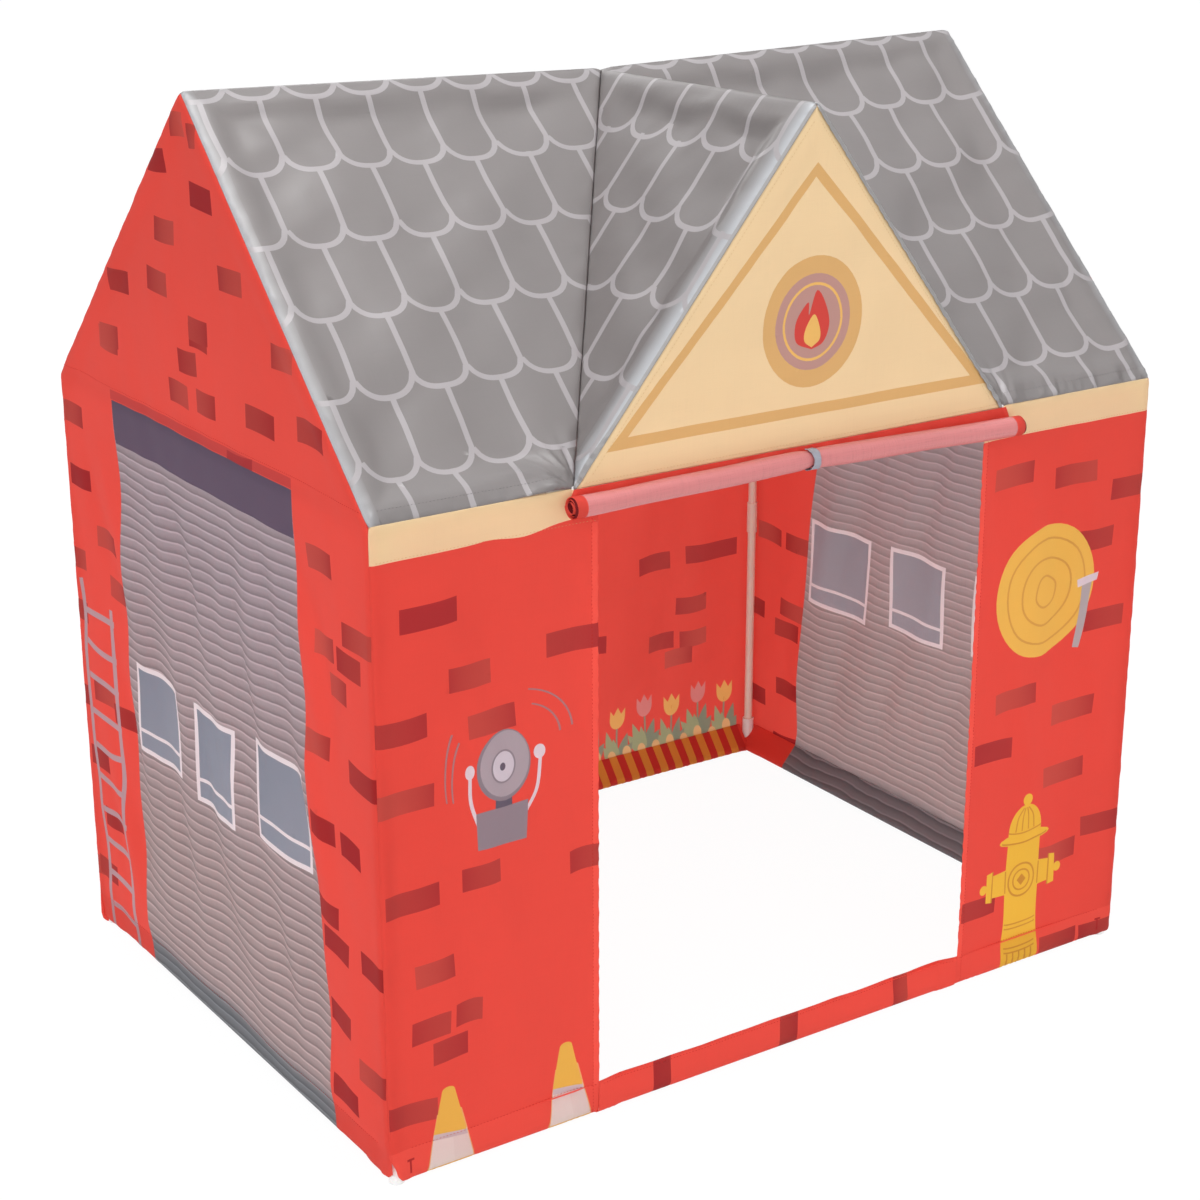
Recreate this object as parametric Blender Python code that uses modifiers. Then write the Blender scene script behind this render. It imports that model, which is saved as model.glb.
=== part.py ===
"""Fire station play tent: a printed cloth house on a frame of plastic tubes, with a roll-up front door.

Metres, +Z up. The front, with the door and the dormer, faces -Y. The origin is on the floor, at the
centre of the whole tent's box, so the tent's own middle lies behind it by half of what the rolled door
stands out in front.
"""

import math

import bmesh
import bpy
from mathutils import Matrix, Vector

# The cover, over its outer faces
WIDTH = 1.05
DEPTH = 0.76
EAVE_HEIGHT = 0.73
RIDGE_HEIGHT = 1.10
RIDGE_SAG = 0.012
DORMER_WIDTH = 0.585
DORMER_SAG = 0.007
DORMER_LEAN = 0.012
CLOTH = 0.001
GAP = 0.0003

# The front opening
OPENING_WIDTH = 0.526
THRESHOLD_HEIGHT = 0.043

# Tubes, and the sleeves that join two of them end to end
TUBE_RADIUS = 0.006
TUBE_WALL = 0.0012
SLEEVE_RADIUS = 0.0075
SLEEVE_LENGTH = 0.045

# Socket joints
HUB_RADIUS = 0.0095
SOCKET_RADIUS = 0.0085
SOCKET_STOP = 0.018
SOCKET_LENGTH = 0.040
SOCKET_ROOT = 0.002
SOCKET_TWIST = math.radians(4.3)
FOOT_PAD = 0.001
CUT_OVERRUN = 0.005
WELD_DISTANCE = 0.00001

# The hem that wraps the bottom rails
HEM_HEIGHT = 0.040
HEM_CLEARANCE = 0.0005
HEM_SHOULDER = 0.004
HEM_END = 0.036
CORNER_LIFT = 0.012

# Folds of the hanging walls: how deep they are drawn in, how far apart they are, and how they fade out
SLACK_FOLD_DEPTH = 0.012
SLACK_FOLD_LENGTH = 0.115
EASY_FOLD_DEPTH = 0.009
TAUT_FOLD_DEPTH = 0.007
TAUT_FOLD_LENGTH = 0.15
FOLD_SLANT = 0.25
FOLD_SWAY = 0.012
FOLD_EDGE = 0.030
FOLD_FADE = 0.12

# The rolled door, its web and its tie
DOOR_WIDTH = 0.612
ROLL_RADIUS = 0.0135
ROLL_DROP = 0.004
ROLL_CLOTH = 0.0005
ROLL_PITCH = 0.00096
ROLL_TURNS = 10.5
RIBBON = 0.0008
TIE_WIDTH = 0.010

# Counts of facets
TUBE_SIDES = 12
HUB_RINGS = 6
GABLE_COLUMNS = 48
GABLE_ROWS = 9
BACK_COLUMNS = 28
PIER_COLUMNS = 7
WALL_ROWS = 5
ROLL_SIDES = 16
TIE_SIDES = 12

# Places that follow from the sizes above
ROOF_SLOPE = math.atan2(RIDGE_HEIGHT - EAVE_HEIGHT, DEPTH / 2)
FRAME_INSET = HUB_RADIUS + GAP + CLOTH
RAIL_HEIGHT = HUB_RADIUS + FOOT_PAD
BORE_RADIUS = TUBE_RADIUS + GAP
TUBE_BORE = TUBE_RADIUS - TUBE_WALL
BUTT = CLOTH + GAP
WALL_TOP = EAVE_HEIGHT - BUTT / math.sin(math.pi / 2 + ROOF_SLOPE)
GABLE_BOTTOM = WALL_TOP + GAP
WEB_TOP = WALL_TOP
ROLL_HEIGHT = GABLE_BOTTOM - ROLL_DROP - ROLL_RADIUS
STAND_OUT = GAP + 2 * ROLL_RADIUS + GAP + RIBBON
MIDDLE_Y = STAND_OUT / 2
WEB_DEPTH = -GAP - CLOTH / 2
ROLL_DEPTH = -GAP - ROLL_RADIUS

UP = Vector((0, 0, 1))
SIDES = {"left": -1, "right": 1}
ENDS = {"front": -1, "back": 1}


def clear_scene():
    for obj in list(bpy.data.objects):
        bpy.data.objects.remove(obj)


def new_collection(name):
    collection = bpy.data.collections.new(name)
    bpy.context.scene.collection.children.link(collection)
    return collection


def new_material(name, colour, roughness):
    material = bpy.data.materials.new(name)
    material.use_nodes = True
    shader = material.node_tree.nodes["Principled BSDF"]
    shader.inputs["Base Color"].default_value = (*colour, 1)
    shader.inputs["Roughness"].default_value = roughness
    shader.inputs["Metallic"].default_value = 0
    return material


clear_scene()
TENT = new_collection("fire_station_play_tent")
CUTTERS = new_collection("cutters")
CUTTERS.hide_render = True

TUBE_WHITE = new_material("tube_white", (0.86, 0.84, 0.79), 0.45)
JOINT_WHITE = new_material("joint_white", (0.90, 0.89, 0.86), 0.4)
CLOTH_RED = new_material("cloth_red", (0.76, 0.07, 0.045), 0.6)
CLOTH_GREY = new_material("cloth_grey", (0.22, 0.21, 0.21), 0.5)
CLOTH_CREAM = new_material("cloth_cream", (0.84, 0.61, 0.34), 0.6)
DOOR_PINK = new_material("door_pink", (0.74, 0.26, 0.24), 0.5)
RIBBON_GREY = new_material("ribbon_grey", (0.20, 0.20, 0.24), 0.7)

MIDDLE = bpy.data.objects.new("tent_middle", None)
MIDDLE.location = (0, MIDDLE_Y, 0)
TENT.objects.link(MIDDLE)


def add_object(name, data, material, parent=MIDDLE, collection=TENT):
    obj = bpy.data.objects.new(name, data)
    collection.objects.link(obj)
    obj.parent = parent
    if material:
        data.materials.append(material)
    return obj


def mesh_from(name, points, faces):
    mesh = bpy.data.meshes.new(name)
    mesh.from_pydata([tuple(p) for p in points], [], faces)
    mesh.update()
    return mesh


def solidify(obj):
    """Thickens an open sheet to the inside, with its outer face left where it is."""
    thicken = obj.modifiers.new("cloth", "SOLIDIFY")
    thicken.thickness = CLOTH
    thicken.offset = -1
    thicken.use_even_offset = True
    thicken.use_quality_normals = True
    return obj


# The nodes of the frame, where the middle lines of its tubes meet


def plane(a, b, c):
    """(point, outward normal) of the face whose corners a, b, c run anticlockwise seen from outside."""
    return a, (b - a).cross(c - a).normalized()


def inside_corner(*planes):
    """The point one frame inset inside each of three faces of the cover."""
    rows = Matrix([normal for _, normal in planes])
    reach = Vector([normal.dot(point) - FRAME_INSET for point, normal in planes])
    return rows.inverted() @ reach


def cover_corner(side, end, height):
    return Vector((SIDES[side] * WIDTH / 2, ENDS[end] * DEPTH / 2, height))


def apex(side):
    return Vector((SIDES[side] * WIDTH / 2, 0, RIDGE_HEIGHT))


JUNCTION = Vector((0, 0, RIDGE_HEIGHT - RIDGE_SAG))
DORMER_APEX = Vector((0, -DEPTH / 2 - DORMER_LEAN, RIDGE_HEIGHT - DORMER_SAG))
DORMER_FOOT = {
    side: Vector((sign * DORMER_WIDTH / 2, -DEPTH / 2, EAVE_HEIGHT)) for side, sign in SIDES.items()
}


def wall_face(axis, sign):
    """The outer face of a wall square to an axis."""
    normal = Vector([sign if i == axis else 0 for i in range(3)])
    return normal * (WIDTH / 2 if axis == 0 else DEPTH / 2), normal


def slope_face(end):
    """The outer face of a main slope of the roof."""
    left, right = cover_corner("left", end, EAVE_HEIGHT), cover_corner("right", end, EAVE_HEIGHT)
    return plane(left, right, apex("right")) if end == "front" else plane(right, left, apex("left"))


def dormer_face(side):
    """The outer face of a slope of the dormer."""
    corners = (JUNCTION, DORMER_FOOT[side], DORMER_APEX)
    return plane(*corners) if side == "left" else plane(corners[0], corners[2], corners[1])


def foot_node(side, end):
    return Vector(
        (SIDES[side] * (WIDTH / 2 - FRAME_INSET), ENDS[end] * (DEPTH / 2 - FRAME_INSET), RAIL_HEIGHT)
    )


def eave_node(side, end):
    return inside_corner(wall_face(0, SIDES[side]), wall_face(1, ENDS[end]), slope_face(end))


def apex_node(side):
    return inside_corner(wall_face(0, SIDES[side]), slope_face("front"), slope_face("back"))


def tee_node():
    return JUNCTION - UP * (FRAME_INSET / math.cos(ROOF_SLOPE))


def dormer_foot_node(side):
    return inside_corner(wall_face(1, -1), slope_face("front"), dormer_face(side))


def dormer_apex_node():
    gable = plane(DORMER_FOOT["left"], DORMER_FOOT["right"], DORMER_APEX)
    return inside_corner(gable, dormer_face("left"), dormer_face("right"))


# Tubes


def turned(name, profile, start, end, material):
    """A piece turned from a closed profile of (radius, place along the piece), laid from start to end."""
    points = [(radius, 0, along) for radius, along in profile]
    mesh = bpy.data.meshes.new(name)
    mesh.from_pydata(points, [(i, (i + 1) % len(points)) for i in range(len(points))], [])
    obj = add_object(name, mesh, material)
    obj.location = start
    obj.rotation_mode = "QUATERNION"
    obj.rotation_quaternion = (end - start).to_track_quat("Z", "Y")
    turn = obj.modifiers.new("turn", "SCREW")
    turn.axis = "Z"
    turn.steps = turn.render_steps = TUBE_SIDES
    turn.use_merge_vertices = True
    turn.merge_threshold = WELD_DISTANCE
    turn.use_smooth_shade = True
    return obj


def plain_tube(name, start, end):
    length = (end - start).length
    profile = [(TUBE_RADIUS, length), (TUBE_RADIUS, 0), (TUBE_BORE, 0), (TUBE_BORE, length)]
    return turned(name, profile, start, end, TUBE_WHITE)


def sleeved_tube(name, start, end):
    """A tube with a sleeve fitted on its far end, half of which stays open for the next tube."""
    length = (end - start).length
    mouth, skirt = length + SLEEVE_LENGTH / 2, length - SLEEVE_LENGTH / 2
    profile = [
        (SLEEVE_RADIUS, mouth),
        (SLEEVE_RADIUS, skirt),
        (TUBE_RADIUS, skirt),
        (TUBE_RADIUS, 0),
        (TUBE_BORE, 0),
        (TUBE_BORE, length),
        (BORE_RADIUS, length),
        (BORE_RADIUS, mouth),
    ]
    return turned(name, profile, start, end, TUBE_WHITE)


def joined_tube(name, start, end):
    """Two tubes and the sleeve between them as one piece."""
    length = (end - start).length
    upper, lower = length / 2 + SLEEVE_LENGTH / 2, length / 2 - SLEEVE_LENGTH / 2
    profile = [
        (TUBE_RADIUS, length),
        (TUBE_RADIUS, upper),
        (SLEEVE_RADIUS, upper),
        (SLEEVE_RADIUS, lower),
        (TUBE_RADIUS, lower),
        (TUBE_RADIUS, 0),
        (TUBE_BORE, 0),
        (TUBE_BORE, length),
    ]
    return turned(name, profile, start, end, TUBE_WHITE)


def between_sockets(start, end):
    """The two ends of a tube that stands between the stops of the sockets at two nodes."""
    step = (end - start).normalized() * (SOCKET_STOP + GAP)
    return start + step, end - step


def tube_run(name, start, end, first="", second=""):
    """A run of two tubes between nodes, joined at its middle by a sleeve. With no names it is one piece."""
    start, end = between_sockets(start, end)
    middle = (start + end) / 2
    if not first:
        return joined_tube(name, start, end)
    sleeved_tube(f"{name}_{first}", start, middle)
    return plain_tube(f"{name}_{second}", middle + (end - start).normalized() * GAP, end)


def build_uprights():
    for end in ENDS:
        for side in SIDES:
            start, stop = between_sockets(foot_node(side, end), eave_node(side, end))
            middle = (start + stop) / 2
            sleeved_tube(f"upright_lower_{end}_{side}", start, middle)
            plain_tube(f"upright_upper_{end}_{side}", middle + UP * GAP, stop)


def build_rails():
    for end in ENDS:
        tube_run(f"bottom_rail_{end}", foot_node("left", end), foot_node("right", end), "left", "right")
    tube_run("eave_rail_back", eave_node("left", "back"), eave_node("right", "back"), "left", "right")
    for side in SIDES:
        tube_run(f"bottom_rail_{side}", foot_node(side, "front"), foot_node(side, "back"))
        tube_run(f"eave_rail_{side}", eave_node(side, "front"), eave_node(side, "back"))
        outer, inner = eave_node(side, "front"), dormer_foot_node(side)
        plain_tube(f"eave_rail_front_{side}", *between_sockets(outer, inner))
    across = between_sockets(dormer_foot_node("left"), dormer_foot_node("right"))
    plain_tube("eave_rail_front_middle", *across)


def build_roof_tubes():
    for side in SIDES:
        for end in ENDS:
            ends = between_sockets(eave_node(side, end), apex_node(side))
            plain_tube(f"rafter_{end}_{side}", *ends)
        plain_tube(f"ridge_tube_{side}", *between_sockets(apex_node(side), tee_node()))
        ends = between_sockets(dormer_foot_node(side), dormer_apex_node())
        plain_tube(f"dormer_rafter_{side}", *ends)
    plain_tube("dormer_ridge_tube", *between_sockets(tee_node(), dormer_apex_node()))


# Socket joints


def rod(name, centre, direction, radius, near, far, twist=0):
    """A helper cylinder along a direction, from near to far of a centre, kept with the cutters."""
    mesh = bpy.data.meshes.new(name)
    shape = bmesh.new()
    bmesh.ops.create_cone(
        shape,
        cap_ends=True,
        segments=TUBE_SIDES,
        radius1=radius,
        radius2=radius,
        depth=far - near,
        matrix=Matrix.Translation(UP * (near + far) / 2) @ Matrix.Rotation(twist, 4, "Z"),
    )
    shape.to_mesh(mesh)
    shape.free()
    obj = add_object(name, mesh, None, collection=CUTTERS)
    obj.location = centre
    obj.rotation_mode = "QUATERNION"
    obj.rotation_quaternion = direction.to_track_quat("Z", "Y")
    obj.hide_render = True
    obj.display_type = "WIRE"
    return obj


def combine(obj, other, operation):
    cut = obj.modifiers.new(other.name, "BOOLEAN")
    cut.operation = operation
    cut.object = other


def socket_joint(name, centre, targets, foot=False):
    """A moulded joint: a round hub with a socket towards each target, and a flat foot if it stands."""
    mesh = bpy.data.meshes.new(name)
    shape = bmesh.new()
    bmesh.ops.create_uvsphere(shape, u_segments=TUBE_SIDES, v_segments=HUB_RINGS, radius=HUB_RADIUS)
    shape.to_mesh(mesh)
    shape.free()
    hub = add_object(name, mesh, JOINT_WHITE)
    hub.location = centre
    directions = [(target - centre).normalized() for target in targets]
    for i, way in enumerate(directions):
        twist = SOCKET_TWIST * (i + 1)
        arm = rod(f"{name}_arm_{i}", centre, way, SOCKET_RADIUS, -SOCKET_ROOT, SOCKET_LENGTH, twist)
        combine(hub, arm, "UNION")
    if foot:
        pad = rod(f"{name}_pad", centre, -UP, SOCKET_RADIUS, -SOCKET_ROOT, centre.z)
        combine(hub, pad, "UNION")
    for i, way in enumerate(directions):
        reach = SOCKET_LENGTH + CUT_OVERRUN
        twist = SOCKET_TWIST * (i + 1)
        bore = rod(f"{name}_bore_{i}", centre, way, BORE_RADIUS, SOCKET_STOP, reach, twist)
        combine(hub, bore, "DIFFERENCE")
    return hub


def build_joints():
    for end in ENDS:
        other_end = "back" if end == "front" else "front"
        for side in SIDES:
            other_side = "right" if side == "left" else "left"
            foot, eave = foot_node(side, end), eave_node(side, end)
            around = [eave, foot_node(other_side, end), foot_node(side, other_end)]
            socket_joint(f"corner_foot_{end}_{side}", foot, around, foot=True)
            around = [foot, eave_node(other_side, end), eave_node(side, other_end), apex_node(side)]
            socket_joint(f"eave_joint_{end}_{side}", eave, around)
    for side in SIDES:
        around = [eave_node(side, "front"), eave_node(side, "back"), tee_node()]
        socket_joint(f"apex_joint_{side}", apex_node(side), around)
        other_side = "right" if side == "left" else "left"
        around = [eave_node(side, "front"), dormer_foot_node(other_side), dormer_apex_node()]
        socket_joint(f"dormer_foot_joint_{side}", dormer_foot_node(side), around)
    around = [apex_node("left"), apex_node("right"), dormer_apex_node()]
    socket_joint("ridge_tee", tee_node(), around)
    around = [dormer_foot_node("left"), dormer_foot_node("right"), tee_node()]
    socket_joint("dormer_apex_joint", dormer_apex_node(), around)


# Hanging walls


def smooth_step(x):
    x = min(max(x, 0), 1)
    return x * x * (3 - 2 * x)


class Folds:
    """The soft upright folds of a hanging wall, which lean as they come down."""

    def __init__(self, depth, length):
        self.depth, self.length = depth, length

    def drawn_in(self, u, z, wall):
        """How far the wall is drawn in at a place u along it and z up it."""
        from_edge = min(u - wall.first, wall.last - u) - FOLD_EDGE
        low, high = HEM_HEIGHT, WALL_TOP - 2 * HUB_RADIUS
        fade = smooth_step(from_edge / FOLD_FADE)
        fade *= smooth_step((z - low) / FOLD_FADE) * smooth_step((high - z) / FOLD_FADE)
        sway = FOLD_SWAY * math.sin(math.tau * z / EAVE_HEIGHT)
        phase = (u + FOLD_SLANT * z + sway) / self.length
        return self.depth * fade * (1 - math.cos(math.tau * phase)) / 2


def hem_profile():
    """(depth, height) of the hem's outer face, from its free edge inside to the bottom of the wall."""
    inner = FRAME_INSET + SOCKET_RADIUS + GAP + CLOTH
    return [
        (2 * CLOTH + GAP * 2, HEM_HEIGHT),
        (inner, RAIL_HEIGHT + HEM_SHOULDER),
        (inner, HEM_CLEARANCE),
        (0, HEM_CLEARANCE),
    ]


def spread(first, last, steps):
    return [first + (last - first) * i / steps for i in range(steps + 1)]


class Wall:
    """One wall's own frame: u runs to the right along it as seen from outside, depth runs inwards."""

    def __init__(self, outward, distance, first, last):
        self.outward = Vector(outward)
        self.along = UP.cross(self.outward)
        self.base = self.outward * distance
        self.first, self.last = first, last

    def point(self, u, depth, height):
        return self.base + self.along * u - self.outward * depth + UP * height


def hanging_wall(name, wall, columns, rows, top, hem_start, hem_stop, folds=None):
    """A wall that hangs from the frame to its hem. top(u) gives the height of its upper edge."""
    hem = hem_profile()
    points, lines = [], []
    for u in columns:
        line = [wall.point(u, depth, height) for depth, height in hem]
        eave = min(top(u), WALL_TOP)
        for height in spread(CORNER_LIFT, eave, rows):
            drawn_in = folds.drawn_in(u, height, wall) if folds else 0
            line.append(wall.point(u, drawn_in, height))
        if top(u) > WALL_TOP:
            line.append(wall.point(u, 0, top(u)))
        lines.append(range(len(points), len(points) + len(line)))
        points += line
    faces = []
    for i, (left, right) in enumerate(zip(lines, lines[1:])):
        in_hem = columns[i] >= hem_start - GAP and columns[i + 1] <= hem_stop + GAP
        for j in range(0 if in_hem else len(hem), min(len(left), len(right)) - 1):
            faces.append((left[j], right[j], right[j + 1], left[j + 1]))
        if len(left) > len(right):
            faces.append((left[-2], right[-1], left[-1]))
        elif len(right) > len(left):
            faces.append((left[-1], right[-2], right[-1]))
    used = sorted({index for face in faces for index in face})
    place = {old: new for new, old in enumerate(used)}
    faces = [tuple(place[index] for index in face) for face in faces]
    mesh = mesh_from(name, [points[index] for index in used], faces)
    mesh.shade_smooth()
    return solidify(add_object(name, mesh, CLOTH_RED))


def columns_between(first, last, count, *also):
    """Even columns from first to last, with a column exactly at each of the places in also."""
    columns = spread(first, last, count)
    for place in also:
        nearest = min(range(1, count), key=lambda i: abs(columns[i] - place))
        columns[nearest] = place
    return columns


def build_walls():
    half_depth, half_width = DEPTH / 2, WIDTH / 2

    def gable_top(u):
        """The gable runs up to the outer face of the roof."""
        rise = (half_depth - abs(u)) * math.tan(ROOF_SLOPE)
        return max(EAVE_HEIGHT + rise, EAVE_HEIGHT)

    hem_reach = half_depth - HEM_END
    columns = columns_between(-half_depth, half_depth, GABLE_COLUMNS, -hem_reach, hem_reach, 0)
    folds = {
        "left": Folds(SLACK_FOLD_DEPTH, SLACK_FOLD_LENGTH),
        "right": Folds(EASY_FOLD_DEPTH, SLACK_FOLD_LENGTH),
    }
    for side, sign in SIDES.items():
        wall = Wall((sign, 0, 0), half_width, -half_depth, half_depth)
        name = f"gable_wall_{side}"
        hanging_wall(name, wall, columns, GABLE_ROWS, gable_top, -hem_reach, hem_reach, folds[side])

    def level_top(u):
        return WALL_TOP

    taut = Folds(TAUT_FOLD_DEPTH, TAUT_FOLD_LENGTH)
    reach = half_width - BUTT
    hem_reach = half_width - HEM_END
    columns = columns_between(-reach, reach, BACK_COLUMNS, -hem_reach, hem_reach)
    back = Wall((0, 1, 0), half_depth, -reach, reach)
    hanging_wall("back_wall", back, columns, WALL_ROWS, level_top, -hem_reach, hem_reach, taut)

    edge = OPENING_WIDTH / 2
    columns = columns_between(edge, reach, PIER_COLUMNS, hem_reach)
    right = Wall((0, -1, 0), half_depth, edge, reach)
    hanging_wall("front_pier_right", right, columns, WALL_ROWS, level_top, edge, hem_reach, taut)
    columns = [-u for u in reversed(columns)]
    left = Wall((0, -1, 0), half_depth, -reach, -edge)
    hanging_wall("front_pier_left", left, columns, WALL_ROWS, level_top, -hem_reach, -edge, taut)

    edge = OPENING_WIDTH / 2 - GAP
    sill = Wall((0, -1, 0), half_depth, -edge, edge)
    hanging_wall("door_sill", sill, [-edge, edge], 1, lambda u: THRESHOLD_HEIGHT, -edge, edge)


# Roof sheets


def trimmed(corners, insets):
    """A flat outline drawn in along each of its sides: insets[i] belongs to the side from corner i on."""
    count = len(corners)
    normal = (corners[1] - corners[0]).cross(corners[2] - corners[0]).normalized()
    ways = [(corners[(i + 1) % count] - corners[i]).normalized() for i in range(count)]
    drawn = []
    for i, corner in enumerate(corners):
        before, after = ways[i - 1], ways[i]
        into_before, into_after = normal.cross(before), normal.cross(after)
        rows = Matrix([into_before, into_after, normal])
        reach = Vector([insets[i - 1], insets[i], 0])
        drawn.append(corner + rows.inverted() @ reach)
    return drawn


def sheet(name, points, faces, material):
    """A taut sheet of cloth, with its corners given anticlockwise as seen from outside."""
    mesh = mesh_from(name, points, faces)
    return solidify(add_object(name, mesh, material))


def build_main_roof():
    back_left, back_right = (cover_corner(side, "back", EAVE_HEIGHT) for side in ("left", "right"))
    draw_in = Vector((BUTT, 0, 0))
    points = [
        back_right - draw_in,
        Vector((0, DEPTH / 2, EAVE_HEIGHT)),
        back_left + draw_in,
        apex("left") + draw_in,
        JUNCTION,
        apex("right") - draw_in,
    ]
    faces = [(0, 1, 5), (1, 4, 5), (1, 2, 3), (1, 3, 4)]
    sheet("roof_back", points, faces, CLOTH_GREY)

    for side in SIDES:
        corner = cover_corner(side, "front", EAVE_HEIGHT)
        if side == "left":
            corners = [corner, DORMER_FOOT[side], JUNCTION, apex(side)]
            insets = [0, GAP, BUTT, BUTT]
        else:
            corners = [DORMER_FOOT[side], corner, apex(side), JUNCTION]
            insets = [0, BUTT, BUTT, GAP]
        corners = trimmed(corners, insets)
        faces = [(0, 1, 3), (1, 2, 3)] if side == "left" else [(0, 1, 2), (0, 2, 3)]
        sheet(f"roof_front_{side}", corners, faces, CLOTH_GREY)


def build_dormer():
    half_angle = math.atan2(DORMER_WIDTH / 2, RIDGE_HEIGHT - EAVE_HEIGHT)
    mitre = CLOTH / math.tan(half_angle) + GAP
    left = trimmed([JUNCTION, DORMER_FOOT["left"], DORMER_APEX], [GAP, 0, mitre])
    sheet("dormer_slope_left", left, [(0, 1, 2)], CLOTH_GREY)
    right = trimmed([JUNCTION, DORMER_APEX, DORMER_FOOT["right"]], [mitre, 0, GAP])
    sheet("dormer_slope_right", right, [(0, 1, 2)], CLOTH_GREY)
    lift = GABLE_BOTTOM - EAVE_HEIGHT
    gable = trimmed([DORMER_FOOT["left"], DORMER_FOOT["right"], DORMER_APEX], [lift, BUTT, BUTT])
    sheet("dormer_gable", gable, [(0, 1, 2)], CLOTH_CREAM)


# The rolled door


def strip_outline(line, thickness):
    """The closed outline of a strip of even thickness along a line of (y, z) points."""
    left, right = [], []
    for i, point in enumerate(line):
        before, after = line[max(i - 1, 0)], line[min(i + 1, len(line) - 1)]
        way = (Vector(after) - Vector(before)).normalized()
        side = Vector((-way.y, way.x)) * thickness / 2
        left.append(Vector(point) + side)
        right.append(Vector(point) - side)
    return left + right[::-1]


def extruded(name, outline, width, material, parent):
    """A flat outline in the YZ plane, drawn out along X to a width about the middle."""
    curve = bpy.data.curves.new(name, "CURVE")
    curve.dimensions = "2D"
    curve.fill_mode = "BOTH"
    curve.extrude = width / 2
    spline = curve.splines.new("POLY")
    spline.points.add(len(outline) - 1)
    for point, place in zip(spline.points, outline):
        point.co = (place.x, place.y, 0, 1)
    spline.use_cyclic_u = True
    obj = add_object(name, curve, material, parent)
    obj.rotation_mode = "QUATERNION"
    obj.rotation_quaternion = Matrix(((0, 0, 1), (1, 0, 0), (0, 1, 0))).to_quaternion()
    return obj


def roll_line():
    """The middle of the rolled cloth, from the tangent at the web down, forwards and inwards."""
    line = []
    for i in range(round(ROLL_TURNS * ROLL_SIDES) + 1):
        turn = i / ROLL_SIDES
        radius = ROLL_RADIUS - ROLL_CLOTH / 2 - ROLL_PITCH * turn
        angle = math.tau * turn
        line.append((radius * math.cos(angle), -radius * math.sin(angle)))
    return line


def least_gap(line):
    """The least gap between two passes of the rolled cloth, measured on its points."""
    gaps = [
        (Vector(a) - Vector(b)).length - ROLL_CLOTH
        for i, a in enumerate(line)
        for b in line[i + ROLL_SIDES // 2 :]
    ]
    return min(gaps)


def build_door():
    hinge = bpy.data.objects.new("door_hinge", None)
    hinge.parent = MIDDLE
    hinge.location = (0, -DEPTH / 2 + WEB_DEPTH, WEB_TOP)
    TENT.objects.link(hinge)

    roll_y, roll_z = ROLL_DEPTH - WEB_DEPTH, ROLL_HEIGHT - WEB_TOP
    line = [(roll_y + y, roll_z + z) for y, z in roll_line()]
    extruded("door_roll", strip_outline(line, ROLL_CLOTH), DOOR_WIDTH, DOOR_PINK, hinge)
    print(f"door_roll: least gap between its turns {least_gap(line) / GAP:.2f} times the usual gap")

    web = [(0, 0), (0, roll_z + GAP)]
    extruded("door_web", strip_outline(web, CLOTH), DOOR_WIDTH, CLOTH_RED, hinge)

    clear = CLOTH / 2 + GAP + RIBBON / 2
    reach = ROLL_RADIUS + GAP + RIBBON / 2
    seam = Vector((-clear, -GAP))
    to_roll = Vector((roll_y, roll_z)) - seam
    first = math.atan2(to_roll.y, to_roll.x) - math.asin(reach / to_roll.length) - math.pi / 2
    front = [tuple(seam)]
    for angle in spread(first, 0, TIE_SIDES):
        front.append((roll_y + reach * math.cos(angle), roll_z + reach * math.sin(angle)))
    rear = [(roll_y + reach, -GAP)]
    extruded("tie_strap", strip_outline(front + rear, RIBBON), TIE_WIDTH, RIBBON_GREY, hinge)


build_uprights()
build_rails()
build_roof_tubes()
build_joints()
build_walls()
build_main_roof()
build_dormer()
build_door()
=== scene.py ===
"""Fire station play tent: printed cloth walls and roof on a frame of plastic tubes, with a rolled-up door."""

import math

import bpy
import numpy as np
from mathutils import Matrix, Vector
from mathutils.geometry import delaunay_2d_cdt
from mathutils.kdtree import KDTree


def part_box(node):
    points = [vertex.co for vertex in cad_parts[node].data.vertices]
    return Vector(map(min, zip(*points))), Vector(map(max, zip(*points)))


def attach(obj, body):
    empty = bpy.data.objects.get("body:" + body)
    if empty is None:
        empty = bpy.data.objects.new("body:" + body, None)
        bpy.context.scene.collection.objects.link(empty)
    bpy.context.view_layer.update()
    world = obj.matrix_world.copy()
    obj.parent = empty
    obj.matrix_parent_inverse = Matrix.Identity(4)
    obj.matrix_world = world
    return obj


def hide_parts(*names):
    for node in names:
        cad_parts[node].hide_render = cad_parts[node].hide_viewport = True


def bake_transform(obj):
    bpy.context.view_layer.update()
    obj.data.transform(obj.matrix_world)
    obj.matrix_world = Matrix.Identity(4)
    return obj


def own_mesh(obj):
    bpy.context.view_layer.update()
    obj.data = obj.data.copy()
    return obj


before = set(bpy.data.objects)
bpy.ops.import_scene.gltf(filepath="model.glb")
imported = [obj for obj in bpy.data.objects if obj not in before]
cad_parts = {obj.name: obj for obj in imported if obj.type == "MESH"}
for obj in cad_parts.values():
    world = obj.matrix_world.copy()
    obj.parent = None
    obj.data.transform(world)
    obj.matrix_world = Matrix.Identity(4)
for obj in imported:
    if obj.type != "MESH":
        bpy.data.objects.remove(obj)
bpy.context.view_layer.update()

MM = 0.001
SIDE_NAME = {-1: "left", 1: "right"}

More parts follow.
